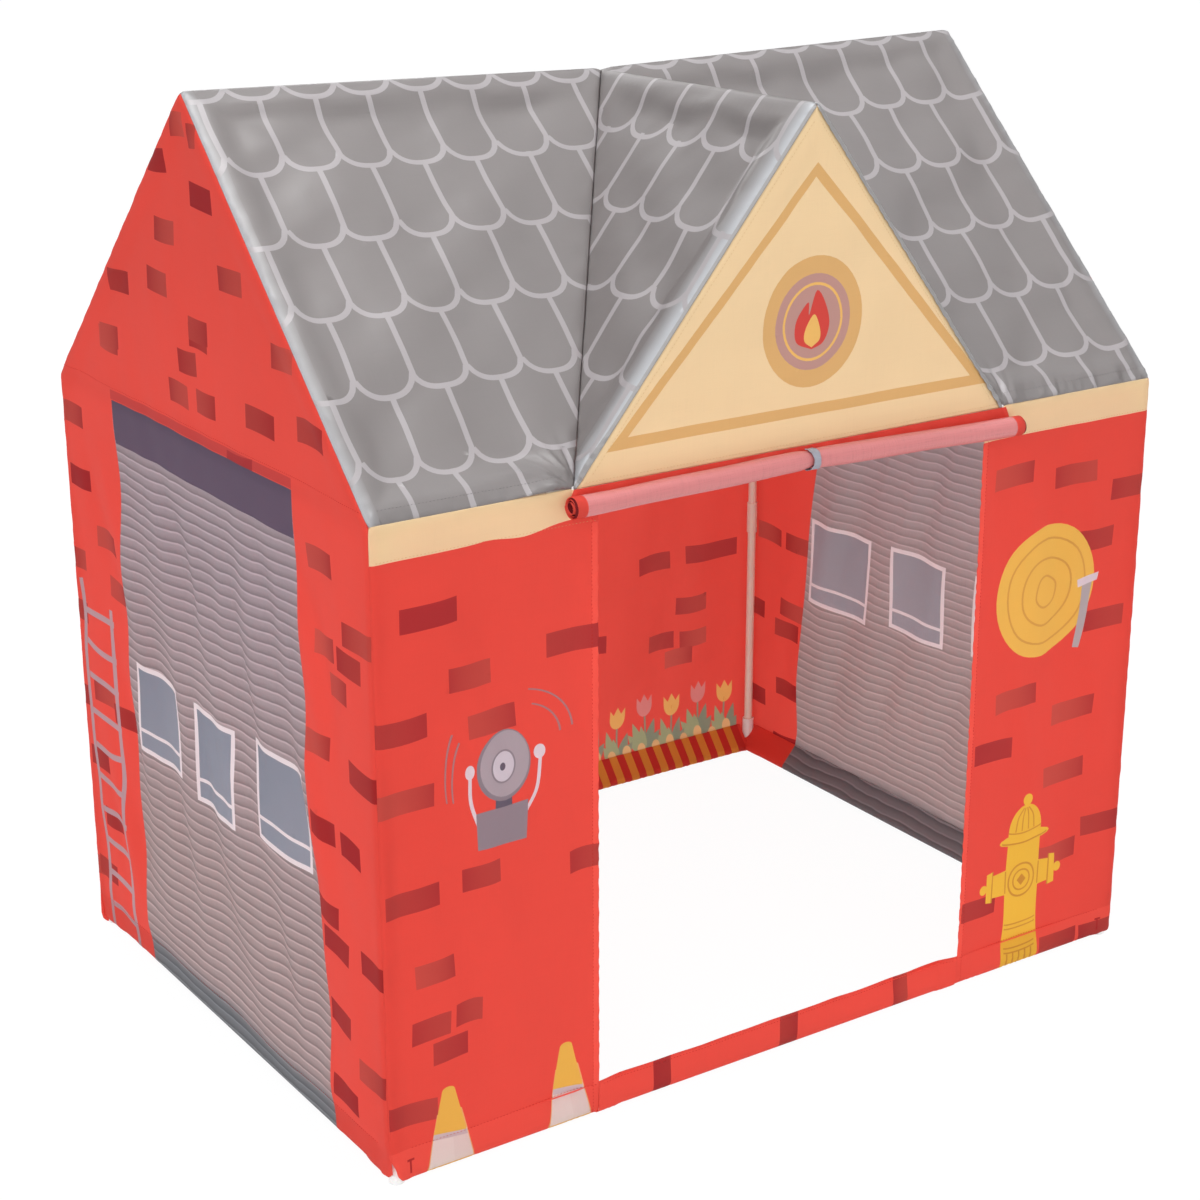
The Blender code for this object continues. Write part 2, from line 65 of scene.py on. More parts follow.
# Sizes of the cover, in metres. The cloth stands a little proud of the frame at its sides, back and ridge
PROUD = 0.004
APEX_LEAN = 0.003
HALF_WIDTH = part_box("gable_wall_right")[1][0] + PROUD
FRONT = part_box("front_pier_left")[0][1]
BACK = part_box("back_wall")[1][1] + PROUD
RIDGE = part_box("gable_wall_left")[1][2] + PROUD
WALL_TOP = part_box("back_wall")[1][2]
HALF_OPENING = -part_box("front_pier_left")[1][0]
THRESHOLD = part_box("door_sill")[1][2]
EAVE = 0.73
RIDGE_SAG = 0.012
HALF_DORMER = 0.2925
DORMER_SAG = 0.007
DORMER_LEAN = 0.012
MIDDLE_Y = (FRONT + BACK) / 2
HALF_DEPTH = (BACK - FRONT) / 2
CLOTH = 0.0004
RIM = 0.0085

# The casing round the bottom rails
RAIL_DEPTH = 0.0108
RAIL_HEIGHT = 0.0105
CASING_RADIUS = 0.0098
SIDE_CASING_RADIUS = 0.0080
CASING_SLACK = 0.0160
OVER_SOCKET = 0.0096
OVER_HUB = 0.0109
CASING_SEAM = 0.040
CASING_SEAM_DEPTH = 0.0026
CASING_SHOULDER = 0.055
# Its length on the flat cloth, round the rail and up to its seam, and the v at which that ends
CASING_RISE = math.hypot(CASING_SEAM_DEPTH - 2 * CASING_RADIUS, CASING_SEAM - RAIL_HEIGHT)
CASING_LENGTH = math.pi * CASING_RADIUS + CASING_RISE
CASING_EDGE = RAIL_HEIGHT - CASING_LENGTH
HEM_END = 0.025
# From the house's end to where the casing narrows from the hub to the socket, and from the socket to the tube
HUB_END = 0.022
SOCKET_END = 0.048

# Folds of the hanging walls
FOLD_SLANT = 0.25
FOLD_SWAY = 0.012
FOLD_EDGE = 0.030
FOLD_FADE = 0.12
FOLD_TOP = WALL_TOP - 0.019
JOINT_REACH = 0.021
# How far a wall lies in from its tubes, and its slow and its small waves
WALL_SLACK = 0.0022
SLOW_WAVE = 0.0011
SMALL_WAVE = 0.0010
# The doubled cloth along the doorway
HEM_WIDTH = 0.0076
HEM_THICKNESS = 0.0005
HEM_PUCKER = 0.0007


# Colours


def ink(red, green, blue, alpha=1.0):
    """A colour written as it looks, from 0 to 255, as linear values."""
    c = np.array([red, green, blue]) / 255
    linear = np.where(c <= 0.04045, c / 12.92, ((c + 0.055) / 1.055) ** 2.4)
    return (*linear.tolist(), alpha)


RED = ink(233, 60, 48)
BRICK = ink(168, 31, 33)
BRICK_DEEP = ink(151, 14, 18)
BRICK_LIGHT = ink(201, 64, 53)
# Painted shadow: a darker red where a seam shows through the cloth
SEAM_SHADOW_RED = ink(200, 48, 44)
# Painted light: a lighter red for doubled cloth
CASING_PAINTED_LIGHT_RED = ink(246, 72, 58)
TACK_RED = ink(176, 30, 30)
SLATE = ink(116, 110, 109)
SLATE_LINE = ink(160, 154, 156)
# A painted highlight: the slate made paler along the tubes
SLATE_HIGHLIGHT = ink(176, 178, 182)
# A painted highlight over the dormer's rafters
SILVER_HIGHLIGHT = ink(150, 147, 147)
CREAM = ink(242, 210, 160)
TAN = ink(222, 172, 105)
MAUVE = ink(190, 140, 130)
NAVY = ink(74, 60, 82)
SLATS = ink(160, 140, 140, 0.0)
SLATS_HIGH = ink(152, 138, 146, 0.0)
SLATS_LOW = ink(118, 120, 126, 0.0)
PANE = ink(110, 120, 138)
PANE_LIGHT = ink(130, 138, 154)
FRAME_WHITE = ink(232, 222, 226)
LADDER = ink(178, 142, 150)
BELL = ink(166, 152, 160)
BELL_RIM = ink(128, 116, 126)
BELL_DISC = ink(205, 196, 206)
BELL_DARK = ink(84, 76, 92)
BELL_BOX = ink(136, 120, 130)
BELL_BALL = ink(222, 206, 214)
SOUND = ink(160, 108, 112)
CONE_YELLOW = ink(234, 176, 62)
CONE_WHITE = ink(236, 220, 214)
CONE_SHADE = ink(232, 214, 208)
CONE_BELT = ink(204, 182, 186)
CONE_EDGE = ink(238, 168, 96)
HOSE_YELLOW = ink(240, 184, 70)
HOSE_LINE = ink(214, 150, 58)
NOZZLE = ink(176, 164, 166)
HYDRANT = ink(240, 186, 48)
HYDRANT_LINE = ink(204, 132, 40)
TULIP = ink(238, 170, 60)
TULIP_PINK = ink(222, 118, 112)
LEAF = ink(84, 112, 74)
LEAF_LIGHT = ink(132, 150, 84)
BUD = ink(232, 176, 98)
PLANTER_RED = ink(206, 44, 38)
PLANTER_YELLOW = ink(230, 150, 50)
FLAME_RED = ink(214, 62, 54)
FLAME_YELLOW = ink(240, 186, 96)


# Drawing on the flat cloth, in millimetres


def unit(v):
    return v / np.linalg.norm(v)


def arc(u, v, ru, rv, first, last, steps=16):
    """Points along part of an ellipse, angles in degrees from the right, anticlockwise."""
    a = np.radians(np.linspace(first, last, steps + 1))
    return np.column_stack([u + ru * np.cos(a), v + rv * np.sin(a)])


def ellipse(u, v, ru, rv, steps=32):
    return arc(u, v, ru, rv, 0, 360, steps)[:-1]


def smooth_line(points, steps=6):
    """A smooth curve through a few points."""
    p = np.array(points, float)
    p = np.vstack([2 * p[0] - p[1], p, 2 * p[-1] - p[-2]])
    out = []
    for a, b, c, d in zip(p, p[1:], p[2:], p[3:]):
        for t in np.arange(steps) / steps:
            out.append(
                0.5 * (2 * b + (c - a) * t + (2 * a - 5 * b + 4 * c - d) * t**2 + (3 * b - a - 3 * c + d) * t**3)
            )
    out.append(p[-2])
    return np.array(out)


def ribbon(points, width, end_width=None):
    """The outline of a brush stroke of even or tapering width along a line."""
    p = np.array(points, float)
    way = np.gradient(p, axis=0)
    way /= np.linalg.norm(way, axis=1)[:, None]
    side = np.column_stack([-way[:, 1], way[:, 0]])
    widths = np.linspace(width, width if end_width is None else end_width, len(p))[:, None] / 2
    return np.vstack([p + side * widths, (p - side * widths)[::-1]])


def strokes(lines, width, colour):
    """Brush strokes of one width and colour, as prints."""
    return [(ribbon(line, width), colour) for line in lines]


def outlined(loop, width):
    """A brush stroke all the way round a closed figure."""
    return ribbon(np.vstack([loop, loop[:1]]), width)


def hand_drawn(points, amount, seed):
    """The same outline with a slow wobble of a hand."""
    p = np.array(points, float)
    rng = np.random.default_rng(seed)
    phase = rng.uniform(0, math.tau, 4)
    s = np.linspace(0, math.tau, len(p), endpoint=False)
    du = np.sin(2 * s + phase[0]) + 0.6 * np.sin(5 * s + phase[1])
    dv = np.sin(3 * s + phase[2]) + 0.6 * np.sin(4 * s + phase[3])
    return p + amount * np.column_stack([du, dv]) / 1.6


def brick(u, v, width=62, height=26):
    """A brick laid on by hand: its long sides bow and lean a little."""
    rng = np.random.default_rng([int(u) % 997, int(v) % 997])
    lean, bow = rng.uniform(-3.5, 3.5), rng.uniform(-2.2, 2.2)
    a = np.linspace(-1, 1, 7)  # from the left end to the right
    middle = v + lean * a / 2 + bow * (1 - a**2)
    top = np.column_stack([u + a * width / 2 + rng.uniform(-1.5, 1.5), middle + height / 2])
    low = np.column_stack([u + a * width / 2, middle - height / 2])
    return np.vstack([low, top[::-1]])


def mixed(share, a, b):
    """Colours between two inks, one for each share from 0 to 1."""
    return np.array(a) * (1 - share) + np.array(b) * share


def brick_ink(u, width, seed, dark):
    """Some bricks are of one dark red, others fade to it from a lighter one."""
    rng = np.random.default_rng(seed)
    light, way = rng.uniform(0, 1), rng.choice((-1, 1))

    def at(p):
        across = np.clip(0.5 + way * (p[:, 0] - u) / width, 0, 1)[:, None]
        share = light * (1 - 0.75 * across * across)
        return mixed(share, dark, BRICK_LIGHT)

    return at


def bricks(places, dark=BRICK):
    return [
        (brick(u, v, width, height), brick_ink(u, width, [int(u) % 991, int(v) % 991], dark))
        for u, v, width, height in places
    ]


# Figures printed on the walls


def alarm_bell(u, v):
    """A round gong on a box, with two strikers and the sound of it."""
    box = [(u - 32, v - 89), (u + 27, v - 89), (u + 29, v - 45), (u - 34, v - 47)]
    arms = [(u - 41, v - 2), (u - 40, v - 33), (u - 30, v - 64)], [(u + 45, v), (u + 40, v - 35), (u + 26, v - 58)]
    prints = strokes(map(smooth_line, arms), 4.2, BELL_BALL)
    prints += [
        ([(u - 11, v - 50), (u + 9, v - 50), (u + 9, v - 32), (u - 11, v - 32)], BELL_DARK),
        (box, BELL_BOX),
        (ellipse(u, v, 33, 39), BELL_RIM),
        (ellipse(u + 1.2, v + 1.5, 30, 36), BELL),
        (ellipse(u - 1, v - 1, 15.5, 18.5), BELL_RIM),
        (ellipse(u - 1, v - 1, 13.5, 16.5), BELL_DISC),
        (ellipse(u - 2, v - 1, 3.6, 4.4, 12), BELL_DARK),
        (ellipse(u - 41, v + 1, 5.8, 8, 16), BELL_BALL),
        (ellipse(u + 44, v + 5, 7.2, 8, 16), BELL_BALL),
    ]
    sounds = [(24, 20, 45, 40, 4, 74), (22, 22, 62, 54, 4, 80)]
    sounds += [(-42, -6, 20, 52, 124, 206), (-44, 0, 26, 64, 132, 205)]
    for du, dv, ru, rv, first, last in sounds:
        prints.append((ribbon(arc(u + du, v + dv, ru, rv, first, last), 2.4, 1.6), SOUND))
    return prints


def traffic_cone(u, top, half_width, lean=0):
    """A road cone: yellow top, a mauve waist, white below, and the edge of its yellow foot."""
    waist, belt, foot = top - 56, top - 64, 4

    def half(v):
        return 8 + (half_width - 8) * (top - v) / top

    def middle(v):
        return u + lean * (top - v) / top

    def level(high, low, first=-1, last=1, tilt=0):
        return [
            (middle(high) + first * half(high), high + tilt),
            (middle(high) + last * half(high), high - tilt),
            (middle(low) + last * half(low), low - tilt),
            (middle(low) + first * half(low), low + tilt),
        ]

    cap = arc(u, top - 5, 8, 5, 170, 10, 8)
    sides = [(middle(waist) + half(waist), waist - 2), (middle(waist) - half(waist), waist + 3)]
    lower = level(waist, foot)
    outline = level(top - 30, foot, -1.05, 1.05)
    return [
        (outline, CONE_EDGE),
        (lower, CONE_WHITE),
        (level(waist, foot, 0.15, 1), CONE_SHADE),
        (level(waist + 1, belt + 2, tilt=2), CONE_BELT),
        (np.vstack([cap, sides]), CONE_YELLOW),
        (level(foot + 2, -30, -1, 1), CONE_YELLOW),
    ]


def coiled_hose(u, v):
    """A hose rolled flat, with its nozzle hanging at the side."""
    prints = [(hand_drawn(ellipse(u, v, 80, 82, 48), 1.4, 3), HOSE_YELLOW)]
    for radius in (64, 41, 19):
        ring = hand_drawn(ellipse(u + 2, v - 1, radius, radius * 1.03, 40), 1.2, radius)
        prints.append((outlined(ring, 2.6), HOSE_LINE))
    shaft = smooth_line([(u + 70, v + 2), (u + 66, v - 40), (u + 59, v - 84)])
    prints.append((ribbon(shaft, 17, 9), NOZZLE))
    collar = [(u + 52, v + 4), (u + 88, v + 8), (u + 86, v - 2), (u + 54, v - 6)]
    prints.append((collar, BELL_BALL))
    return prints


def fire_hydrant(u):
    """A squat hydrant that stands on the bottom seam."""
    dome = np.vstack([arc(u, 184, 27, 34, 0, 180, 18), [(u - 27, 178), (u + 27, 178)]])
    knob = ellipse(u + 1, 224, 7.5, 8, 14)
    brim = np.vstack([arc(u, 174, 42, 8, -90, 90, 8), arc(u, 174, 42, 8, 90, 270, 8)])
    half = [(27, 168), (28, 120), (27, 66), (30, 30), (31, 0), (33, -40)]
    left, right = ([(u + side * reach, v) for reach, v in half] for side in (-1, 1))
    body = np.vstack([smooth_line(left), smooth_line(right[::-1])])
    prints = [(body, HYDRANT), (knob, HYDRANT), (dome, HYDRANT), (brim, HYDRANT)]
    for side in (-1, 1):
        reach = 50 if side < 0 else 44
        root, start, end = u + side * 25, u + side * reach, u + side * (reach + 10)
        arm = [(root, 136), (start, 134), (start, 104), (root, 102)]
        cap = [(start, 140), (end, 138), (end, 100), (start, 98)]
        stud = ellipse(u + side * (reach + 15), 119, 6.5, 6.5, 12)
        prints += [(stud, HYDRANT), (arm, HYDRANT), (cap, HYDRANT)]
        collars = [(start, 140), (start, 98)], [(u + side * 28, 134), (u + side * 27, 104)]
        prints += strokes(collars, 2, HYDRANT_LINE)
    ribs = [[(u + tilt * 0.25, 214), (u + tilt * 0.8, 202), (u + tilt, 184)] for tilt in (-16, -6, 5, 15)]
    prints += strokes([arc(u, 176, 40, 8, 200, 340, 12)], 2, HYDRANT_LINE)
    prints += strokes([arc(u, 188, 30, 7, 205, 335, 12)] + [smooth_line(rib) for rib in ribs], 1.8, HYDRANT_LINE)
    for radius, width in ((21, 2.6), (13, 2.2)):
        ring = ellipse(u - 1, 117, radius, radius * 1.06, 28)
        prints.append((outlined(ring, width), HYDRANT_LINE))
    prints.append(([(u - 8, 117), (u - 1, 125), (u + 6, 117), (u - 1, 109)], HYDRANT_LINE))
    prints += strokes([arc(u, level, 27, 4, 200, 340, 10) for level in (62, 56, 30, 24)], 1.8, HYDRANT_LINE)
    flutes = [[(u + offset, 20), (u + offset * 1.06, -38)] for offset in (-20, -10, 0, 10, 20)]
    return prints + strokes(flutes, 2.2, HYDRANT_LINE)


def ladder(left, right, low, high):
    """A ladder with wobbly rails and rungs."""
    rng = np.random.default_rng(12)
    levels = np.linspace(high, low, 12)
    prints = []
    for k, base in enumerate((left, right)):
        drift = -12 + 24 * (high - levels) / (high - low) * (0.9 - 0.5 * k)
        rail = np.column_stack([base + drift + rng.uniform(-3.5, 3.5, len(levels)), levels - 20 * k])
        prints.append((ribbon(smooth_line(rail, 4), 8.5), LADDER))
    for level in np.arange(high - 36, low, -44):
        a, b = level + rng.uniform(-3, 3), level - 4 + rng.uniform(-3, 3)
        bow = rng.uniform(-4, 4)
        share = (high - level) / (high - low)
        first, last = left - 8 + 20 * share, right - 8 + 10 * share
        rung = smooth_line([(first, a), ((first + last) / 2, (a + b) / 2 + bow), (last, b)], 5)
        prints.append((ribbon(rung, 8), LADDER))
    return prints


def window(u0, u1, v0, v1, seed):
    """A shutter's window: a light hand-drawn frame, its pane and a bar near the bottom."""
    bow = 1.0 + 0.6 * (seed % 3)
    across = np.linspace(0, 1, 8)
    wave = bow * np.sin(across * math.pi)
    top = np.column_stack([u0 + (u1 - u0) * across, v1 + wave * 0.7])
    low = np.column_stack([u0 + 4 + (u1 - u0 - 2) * across, v0 - wave * 0.4])
    outer = np.vstack([low, top[::-1]])
    middle = outer.mean(axis=0)
    inner = middle + (outer - middle) * (1 - 12 / (u1 - u0), 1 - 12 / (v1 - v0))
    bar = np.column_stack([u0 + 8 + (u1 - u0 - 12) * across, v0 + 27 + wave * 0.8])
    return [(outer, FRAME_WHITE), (inner, pane_ink(u0, u1, v0, v1)), (ribbon(bar, 4.5), FRAME_WHITE)]


def pane_ink(u0, u1, v0, v1):
    """A pane that pales towards its lower right corner."""

    def at(p):
        share = np.clip((p[:, 0] - u0) / (u1 - u0) * 0.55 + (v1 - p[:, 1]) / (v1 - v0) * 0.45, 0, 1)[:, None]
        return mixed(share, PANE, PANE_LIGHT)

    return at


def slat_ink(p):
    """The shutter's tint, cooler towards its top and greener in its lowest slats."""
    high = np.clip((p[:, 1] - 200) / 400, 0, 1)[:, None]
    low = np.clip((56 - p[:, 1]) / 22, 0, 1)[:, None]
    return np.array(SLATS) * (1 - high - low) + np.array(SLATS_HIGH) * high + np.array(SLATS_LOW) * low


def shutter(left, right, windows):
    """A roller shutter with a navy box above it. left and right are lines from top to bottom."""
    left, right = smooth_line(left, 8), smooth_line(right, 8)
    outline = np.vstack([left, right[::-1]])
    drop = (0, SHUTTER_BOX)
    box = np.vstack([left[:1], left[:1] - drop, right[:1] - drop, right[:1]])
    prints = [(outline, slat_ink), (box, NAVY)]
    for i, place in enumerate(windows):
        prints += window(*place, seed=i)
    return prints


def leaf(foot, tip, width):
    """A broad pointed leaf."""
    foot, tip = np.array(foot, float), np.array(tip, float)
    share = np.linspace(0, 1, 9)[:, None]
    way = unit(tip - foot)
    half = width / 2 * np.sin(math.pi * share**0.8) * np.array([way[1], -way[0]])
    middle = foot + (tip - foot) * share
    return np.vstack([middle + half, (middle - half)[::-1]])


def tulip(u, v, colour, seed):
    """One tulip on its stalk, with broad leaves that stand round its foot."""
    rng = np.random.default_rng(seed)
    prints = [(ribbon([(u, v), (u + rng.uniform(-3, 3), v - 62)], 3), LEAF)]
    for reach, rise, width in ((19, 24, 15), (-17, 22, 16), (27, 4, 15), (-25, 2, 16), (5, 12, 15)):
        tip = (u + reach * rng.uniform(0.85, 1.15), v - 46 + rise * rng.uniform(0.8, 1.2))
        prints.append((leaf((u + reach * 0.2, v - 74), tip, width), LEAF if reach < 0 else LEAF_LIGHT))
    petals = [(u + 14, v + 14), (u + 7, v + 5), (u, v + 17), (u - 7, v + 5), (u - 14, v + 14)]
    prints.append((np.vstack([arc(u, v, 14, 18, 180, 360, 12), petals]), colour))
    return prints


def planter(first, last):
    """Flower boxes with striped, pointed fronts along the foot of a wall."""
    prints = []
    for k, u in enumerate(np.arange(first + 22, last - 12, 49)):
        prints += tulip(u, 99 + 9 * (k % 2), TULIP_PINK if k % 2 else TULIP, k + 31)
    for k, u in enumerate(np.arange(first, last - 8, 13)):
        top = 36 + 4 * math.sin(k * 1.7)
        if k % 2:
            prints.append((ellipse(u + 6, top + 3, 7.5, 11, 14), BUD))
        stripe = [(u, -60), (u + 13, -60), (u + 13, top), (u, top)]
        prints.append((stripe, PLANTER_YELLOW if k % 2 else PLANTER_RED))
    return prints


def medallion(u, v):
    """An oval badge with a plain flame in it."""
    flame = [(0, -30), (-21, -20), (-22, 4), (-8, 22), (-6, 8), (3, 34), (17, 14), (22, -6), (15, -24), (0, -30)]
    flame = smooth_line(flame, 5)
    core = smooth_line([(0, -28), (-10, -20), (-9, -6), (1, 8), (9, -6), (10, -20), (0, -28)], 5)
    ring = ellipse(u, v, 38, 41, 36)
    return [
        (ellipse(u, v, 66, 71, 44), TAN),
        (ellipse(u, v, 49.5, 52, 40), MAUVE),
        (outlined(ring, 3), FLAME_YELLOW),
        (flame[:-1] + (u, v), FLAME_RED),
        (core[:-1] + (u, v), FLAME_YELLOW),
    ]


# The shingles' pitch along a course and up the slope, the rise of their arcs, and the width of the drawn line
SHINGLE = 65
COURSE = 93
ARC_RISE = 24
LINE = 6.4


def shingles(first, last, courses, start, seed):
    """Rounded shingles: arcs that hang in courses, with a joint from each arc up to the course above."""
    rng = np.random.default_rng(seed)
    prints = []
    for k, low in enumerate(courses):
        offset = start + (SHINGLE / 2 if k % 2 else 0)
        count_first = math.floor((first - offset) / SHINGLE) - 1
        count_last = math.ceil((last - offset) / SHINGLE) + 1
        for i in range(count_first, count_last):
            u = offset + i * SHINGLE + rng.uniform(-1.6, 1.6)
            dip = rng.uniform(-2, 2)
            t = np.linspace(-0.985, 0.985, 17)
            shape = (1 - np.abs(t) ** 2.6) ** 0.62
            bowl = np.column_stack([u + t * SHINGLE / 2, low + ARC_RISE + dip * (1 - t**2) - ARC_RISE * shape])
            prints.append((ribbon(bowl, LINE), SLATE_LINE))
            joint = u + SHINGLE / 2
            sway = rng.uniform(-2.5, 2.5)
            line = [(joint, low + ARC_RISE - 7), (joint + sway, low + 58), (joint + sway / 2, low + COURSE + 2)]
            prints.append((ribbon(smooth_line(line, 4), LINE), SLATE_LINE))
    return prints


# Smooth random fields and curves


class SoftNoise:
    """A smooth random field: a sum of waves of like length in random directions."""

    def __init__(self, seed, length, dimensions=3, waves=14):
        rng = np.random.default_rng(seed)
        ways = rng.normal(size=(waves, dimensions))
        ways /= np.linalg.norm(ways, axis=1)[:, None]
        self.rates = ways * (math.tau / (length * rng.uniform(0.7, 1.5, waves)))[:, None]
        self.phases = rng.uniform(0, math.tau, waves)

    def __call__(self, p):
        waves = np.sin(p @ self.rates.T + self.phases)
        return waves.sum(axis=1) / math.sqrt(len(self.phases) / 2)


def bell(x, reach):
    """1 at x = 0, and nearly nothing two reaches away."""
    return np.exp(-((x / reach) ** 2))


def smooth_step(x):
    x = np.clip(x, 0, 1)
    return x * x * (3 - 2 * x)


def uneven_wave(x, rate, drift, drift_rate):
    """A wave whose crests come closer and further apart."""
    return np.sin(x * rate + drift * np.sin(x * drift_rate))


# The house's corners


def point(x, y, z):
    return np.array([x, y, z], float)


CORNER = {
    (side, end): point(side * HALF_WIDTH, MIDDLE_Y + end * HALF_DEPTH, EAVE) for side in (-1, 1) for end in (-1, 1)
}
FOOT = {(side, end): place * (1, 1, 0) for (side, end), place in CORNER.items()}
APEX = {side: point(side * (HALF_WIDTH - APEX_LEAN), MIDDLE_Y, RIDGE) for side in (-1, 1)}
JUNCTION = point(0, MIDDLE_Y, RIDGE - RIDGE_SAG)
DORMER_APEX = point(0, FRONT - DORMER_LEAN, RIDGE - DORMER_SAG)
DORMER_FOOT = {side: point(side * HALF_DORMER, FRONT, EAVE) for side in (-1, 1)}


def facing(a, b, c):
    """The outward direction of a face whose corners run anticlockwise seen from outside."""
    return unit(np.cross(b - a, c - a))


def square_to(line, normal, towards):
    """The direction square to a line in a plane, on the side that another direction points to."""
    way = unit(np.cross(normal, line))
    return way * np.sign(way @ towards)


SLOPE_OUT = {
    -1: facing(CORNER[-1, -1], CORNER[1, -1], APEX[1]),
    1: facing(CORNER[1, 1], CORNER[-1, 1], APEX[-1]),
}
DORMER_OUT = {
    -1: facing(JUNCTION, DORMER_FOOT[-1], DORMER_APEX),
    1: facing(JUNCTION, DORMER_APEX, DORMER_FOOT[1]),
}
DORMER_GABLE_OUT = facing(DORMER_FOOT[-1], DORMER_FOOT[1], DORMER_APEX)
SIDE_OUT = {side: point(side, 0, 0) for side in (-1, 1)}
END_OUT = {end: point(0, end, 0) for end in (-1, 1)}


class Seam:
    """A sewn edge between two faces: it rounds the cloth over the tube and draws it in at the stitches."""

    def __init__(self, a, b, out_a, out_b, radius=RIM, groove=0.0003, pucker=0.0):
        turn = math.acos(np.clip(out_a @ out_b, -1, 1))
        self.a, self.b = a, b
        self.inward = -unit(out_a + out_b)
        self.draw = radius * (1 / math.cos(turn / 2) - 1)
        self.reach = 2 * self.draw / math.sin(turn / 2)
        self.groove = groove
        self.pucker = pucker
        self.ripple = SoftNoise(int(abs(a @ (311, 173, 97)) * 100) + 5, 0.021)

    def distance(self, p):
        way = self.b - self.a
        t = np.clip((p - self.a) @ way / (way @ way), 0, 1)
        return np.linalg.norm(p - self.a - t[:, None] * way, axis=1)

    def shift(self, p):
        d = self.distance(p)
        inward = self.draw * (1 - np.minimum(d / max(self.reach, 1e-6), 1)) ** 2
        inward = inward + self.groove * (1 - np.minimum(d / (3 * MM), 1)) ** 2
        if self.pucker:
            fade = bell(d, 14 * MM)
            inward = inward + self.pucker * fade * self.ripple(p)
        return inward


def valley(side):
    """The sewn valley between the roof and the dormer: no rounding, only a sharp fold drawn in."""
    seam = Seam(DORMER_FOOT[side], JUNCTION, SLOPE_OUT[-1], DORMER_OUT[side], radius=0, groove=0.0012, pucker=0.0005)
    seam.reach = 1
    return seam


SEAMS = [valley(-1), valley(1)]
for side in (-1, 1):
    for end in (-1, 1):
        corner = CORNER[side, end]
        SEAMS.append(Seam(FOOT[side, end], corner, SIDE_OUT[side], END_OUT[end], pucker=0.0002))
        SEAMS.append(Seam(corner, APEX[side], SIDE_OUT[side], SLOPE_OUT[end], pucker=0.0002))
    SEAMS.append(Seam(APEX[side], JUNCTION, SLOPE_OUT[-1], SLOPE_OUT[1], groove=0.0003))
    SEAMS.append(Seam(CORNER[side, -1], DORMER_FOOT[side], END_OUT[-1], SLOPE_OUT[-1], pucker=0.0004))
    SEAMS.append(Seam(DORMER_FOOT[side], DORMER_APEX, DORMER_GABLE_OUT, DORMER_OUT[side], pucker=0.0002))
SEAMS.append(Seam(CORNER[-1, 1], CORNER[1, 1], END_OUT[1], SLOPE_OUT[1], pucker=0.0004))
SEAMS.append(Seam(JUNCTION, DORMER_APEX, DORMER_OUT[-1], DORMER_OUT[1], groove=0.0003))

# The most that the seams together draw the cloth in, a hub's radius, and how near its centre the cloth may come
MOST_DRAWN = 0.0070
HUB_RADIUS = 0.0095
HUB_ROOM = 0.0112


def middle_of(node):
    low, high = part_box(node)
    return np.array((low + high) / 2)


def hub_centres():
    """The centres of the round joints that the cloth passes over."""
    side_rail, front_rail = middle_of("eave_rail_right"), middle_of("eave_rail_front_middle")
    back_rail, apex = middle_of("eave_rail_back_right"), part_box("apex_joint_right")[1][2] - HUB_RADIUS
    tee_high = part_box("ridge_tee")[1]
    centres = [point(0, tee_high[1] - HUB_RADIUS, tee_high[2] - HUB_RADIUS)]
    for side in (-1, 1):
        x = side * side_rail[0]
        dormer_x = side * middle_of("dormer_foot_joint_right")[0]
        centres += [point(x, front_rail[1], side_rail[2]), point(x, back_rail[1], side_rail[2])]
        centres += [point(x, MIDDLE_Y, apex), point(dormer_x, front_rail[1], front_rail[2])]
    return centres


HUBS = hub_centres()


def drawn_over_tubes(p):
    """Where the cloth lies once every seam near a place has rounded it. Faces that share an edge agree there."""
    total = sum(seam.inward * seam.shift(p)[:, None] for seam in SEAMS)
    size = np.linalg.norm(total, axis=1)
    share = np.minimum(1, MOST_DRAWN / np.maximum(size, 1e-9))
    return p + total * share[:, None]


def clear_of_hubs(p):
    """Cloth that would lie in a hub goes round it."""
    for centre in HUBS:
        away = p - centre
        distance = np.linalg.norm(away, axis=1)
        short = np.maximum(HUB_ROOM - distance, 0)
        p = p + away / np.maximum(distance, 1e-9)[:, None] * short[:, None]
    return p


# Panels of cloth. u runs to the right seen from outside and v up, in metres on the flat cloth.


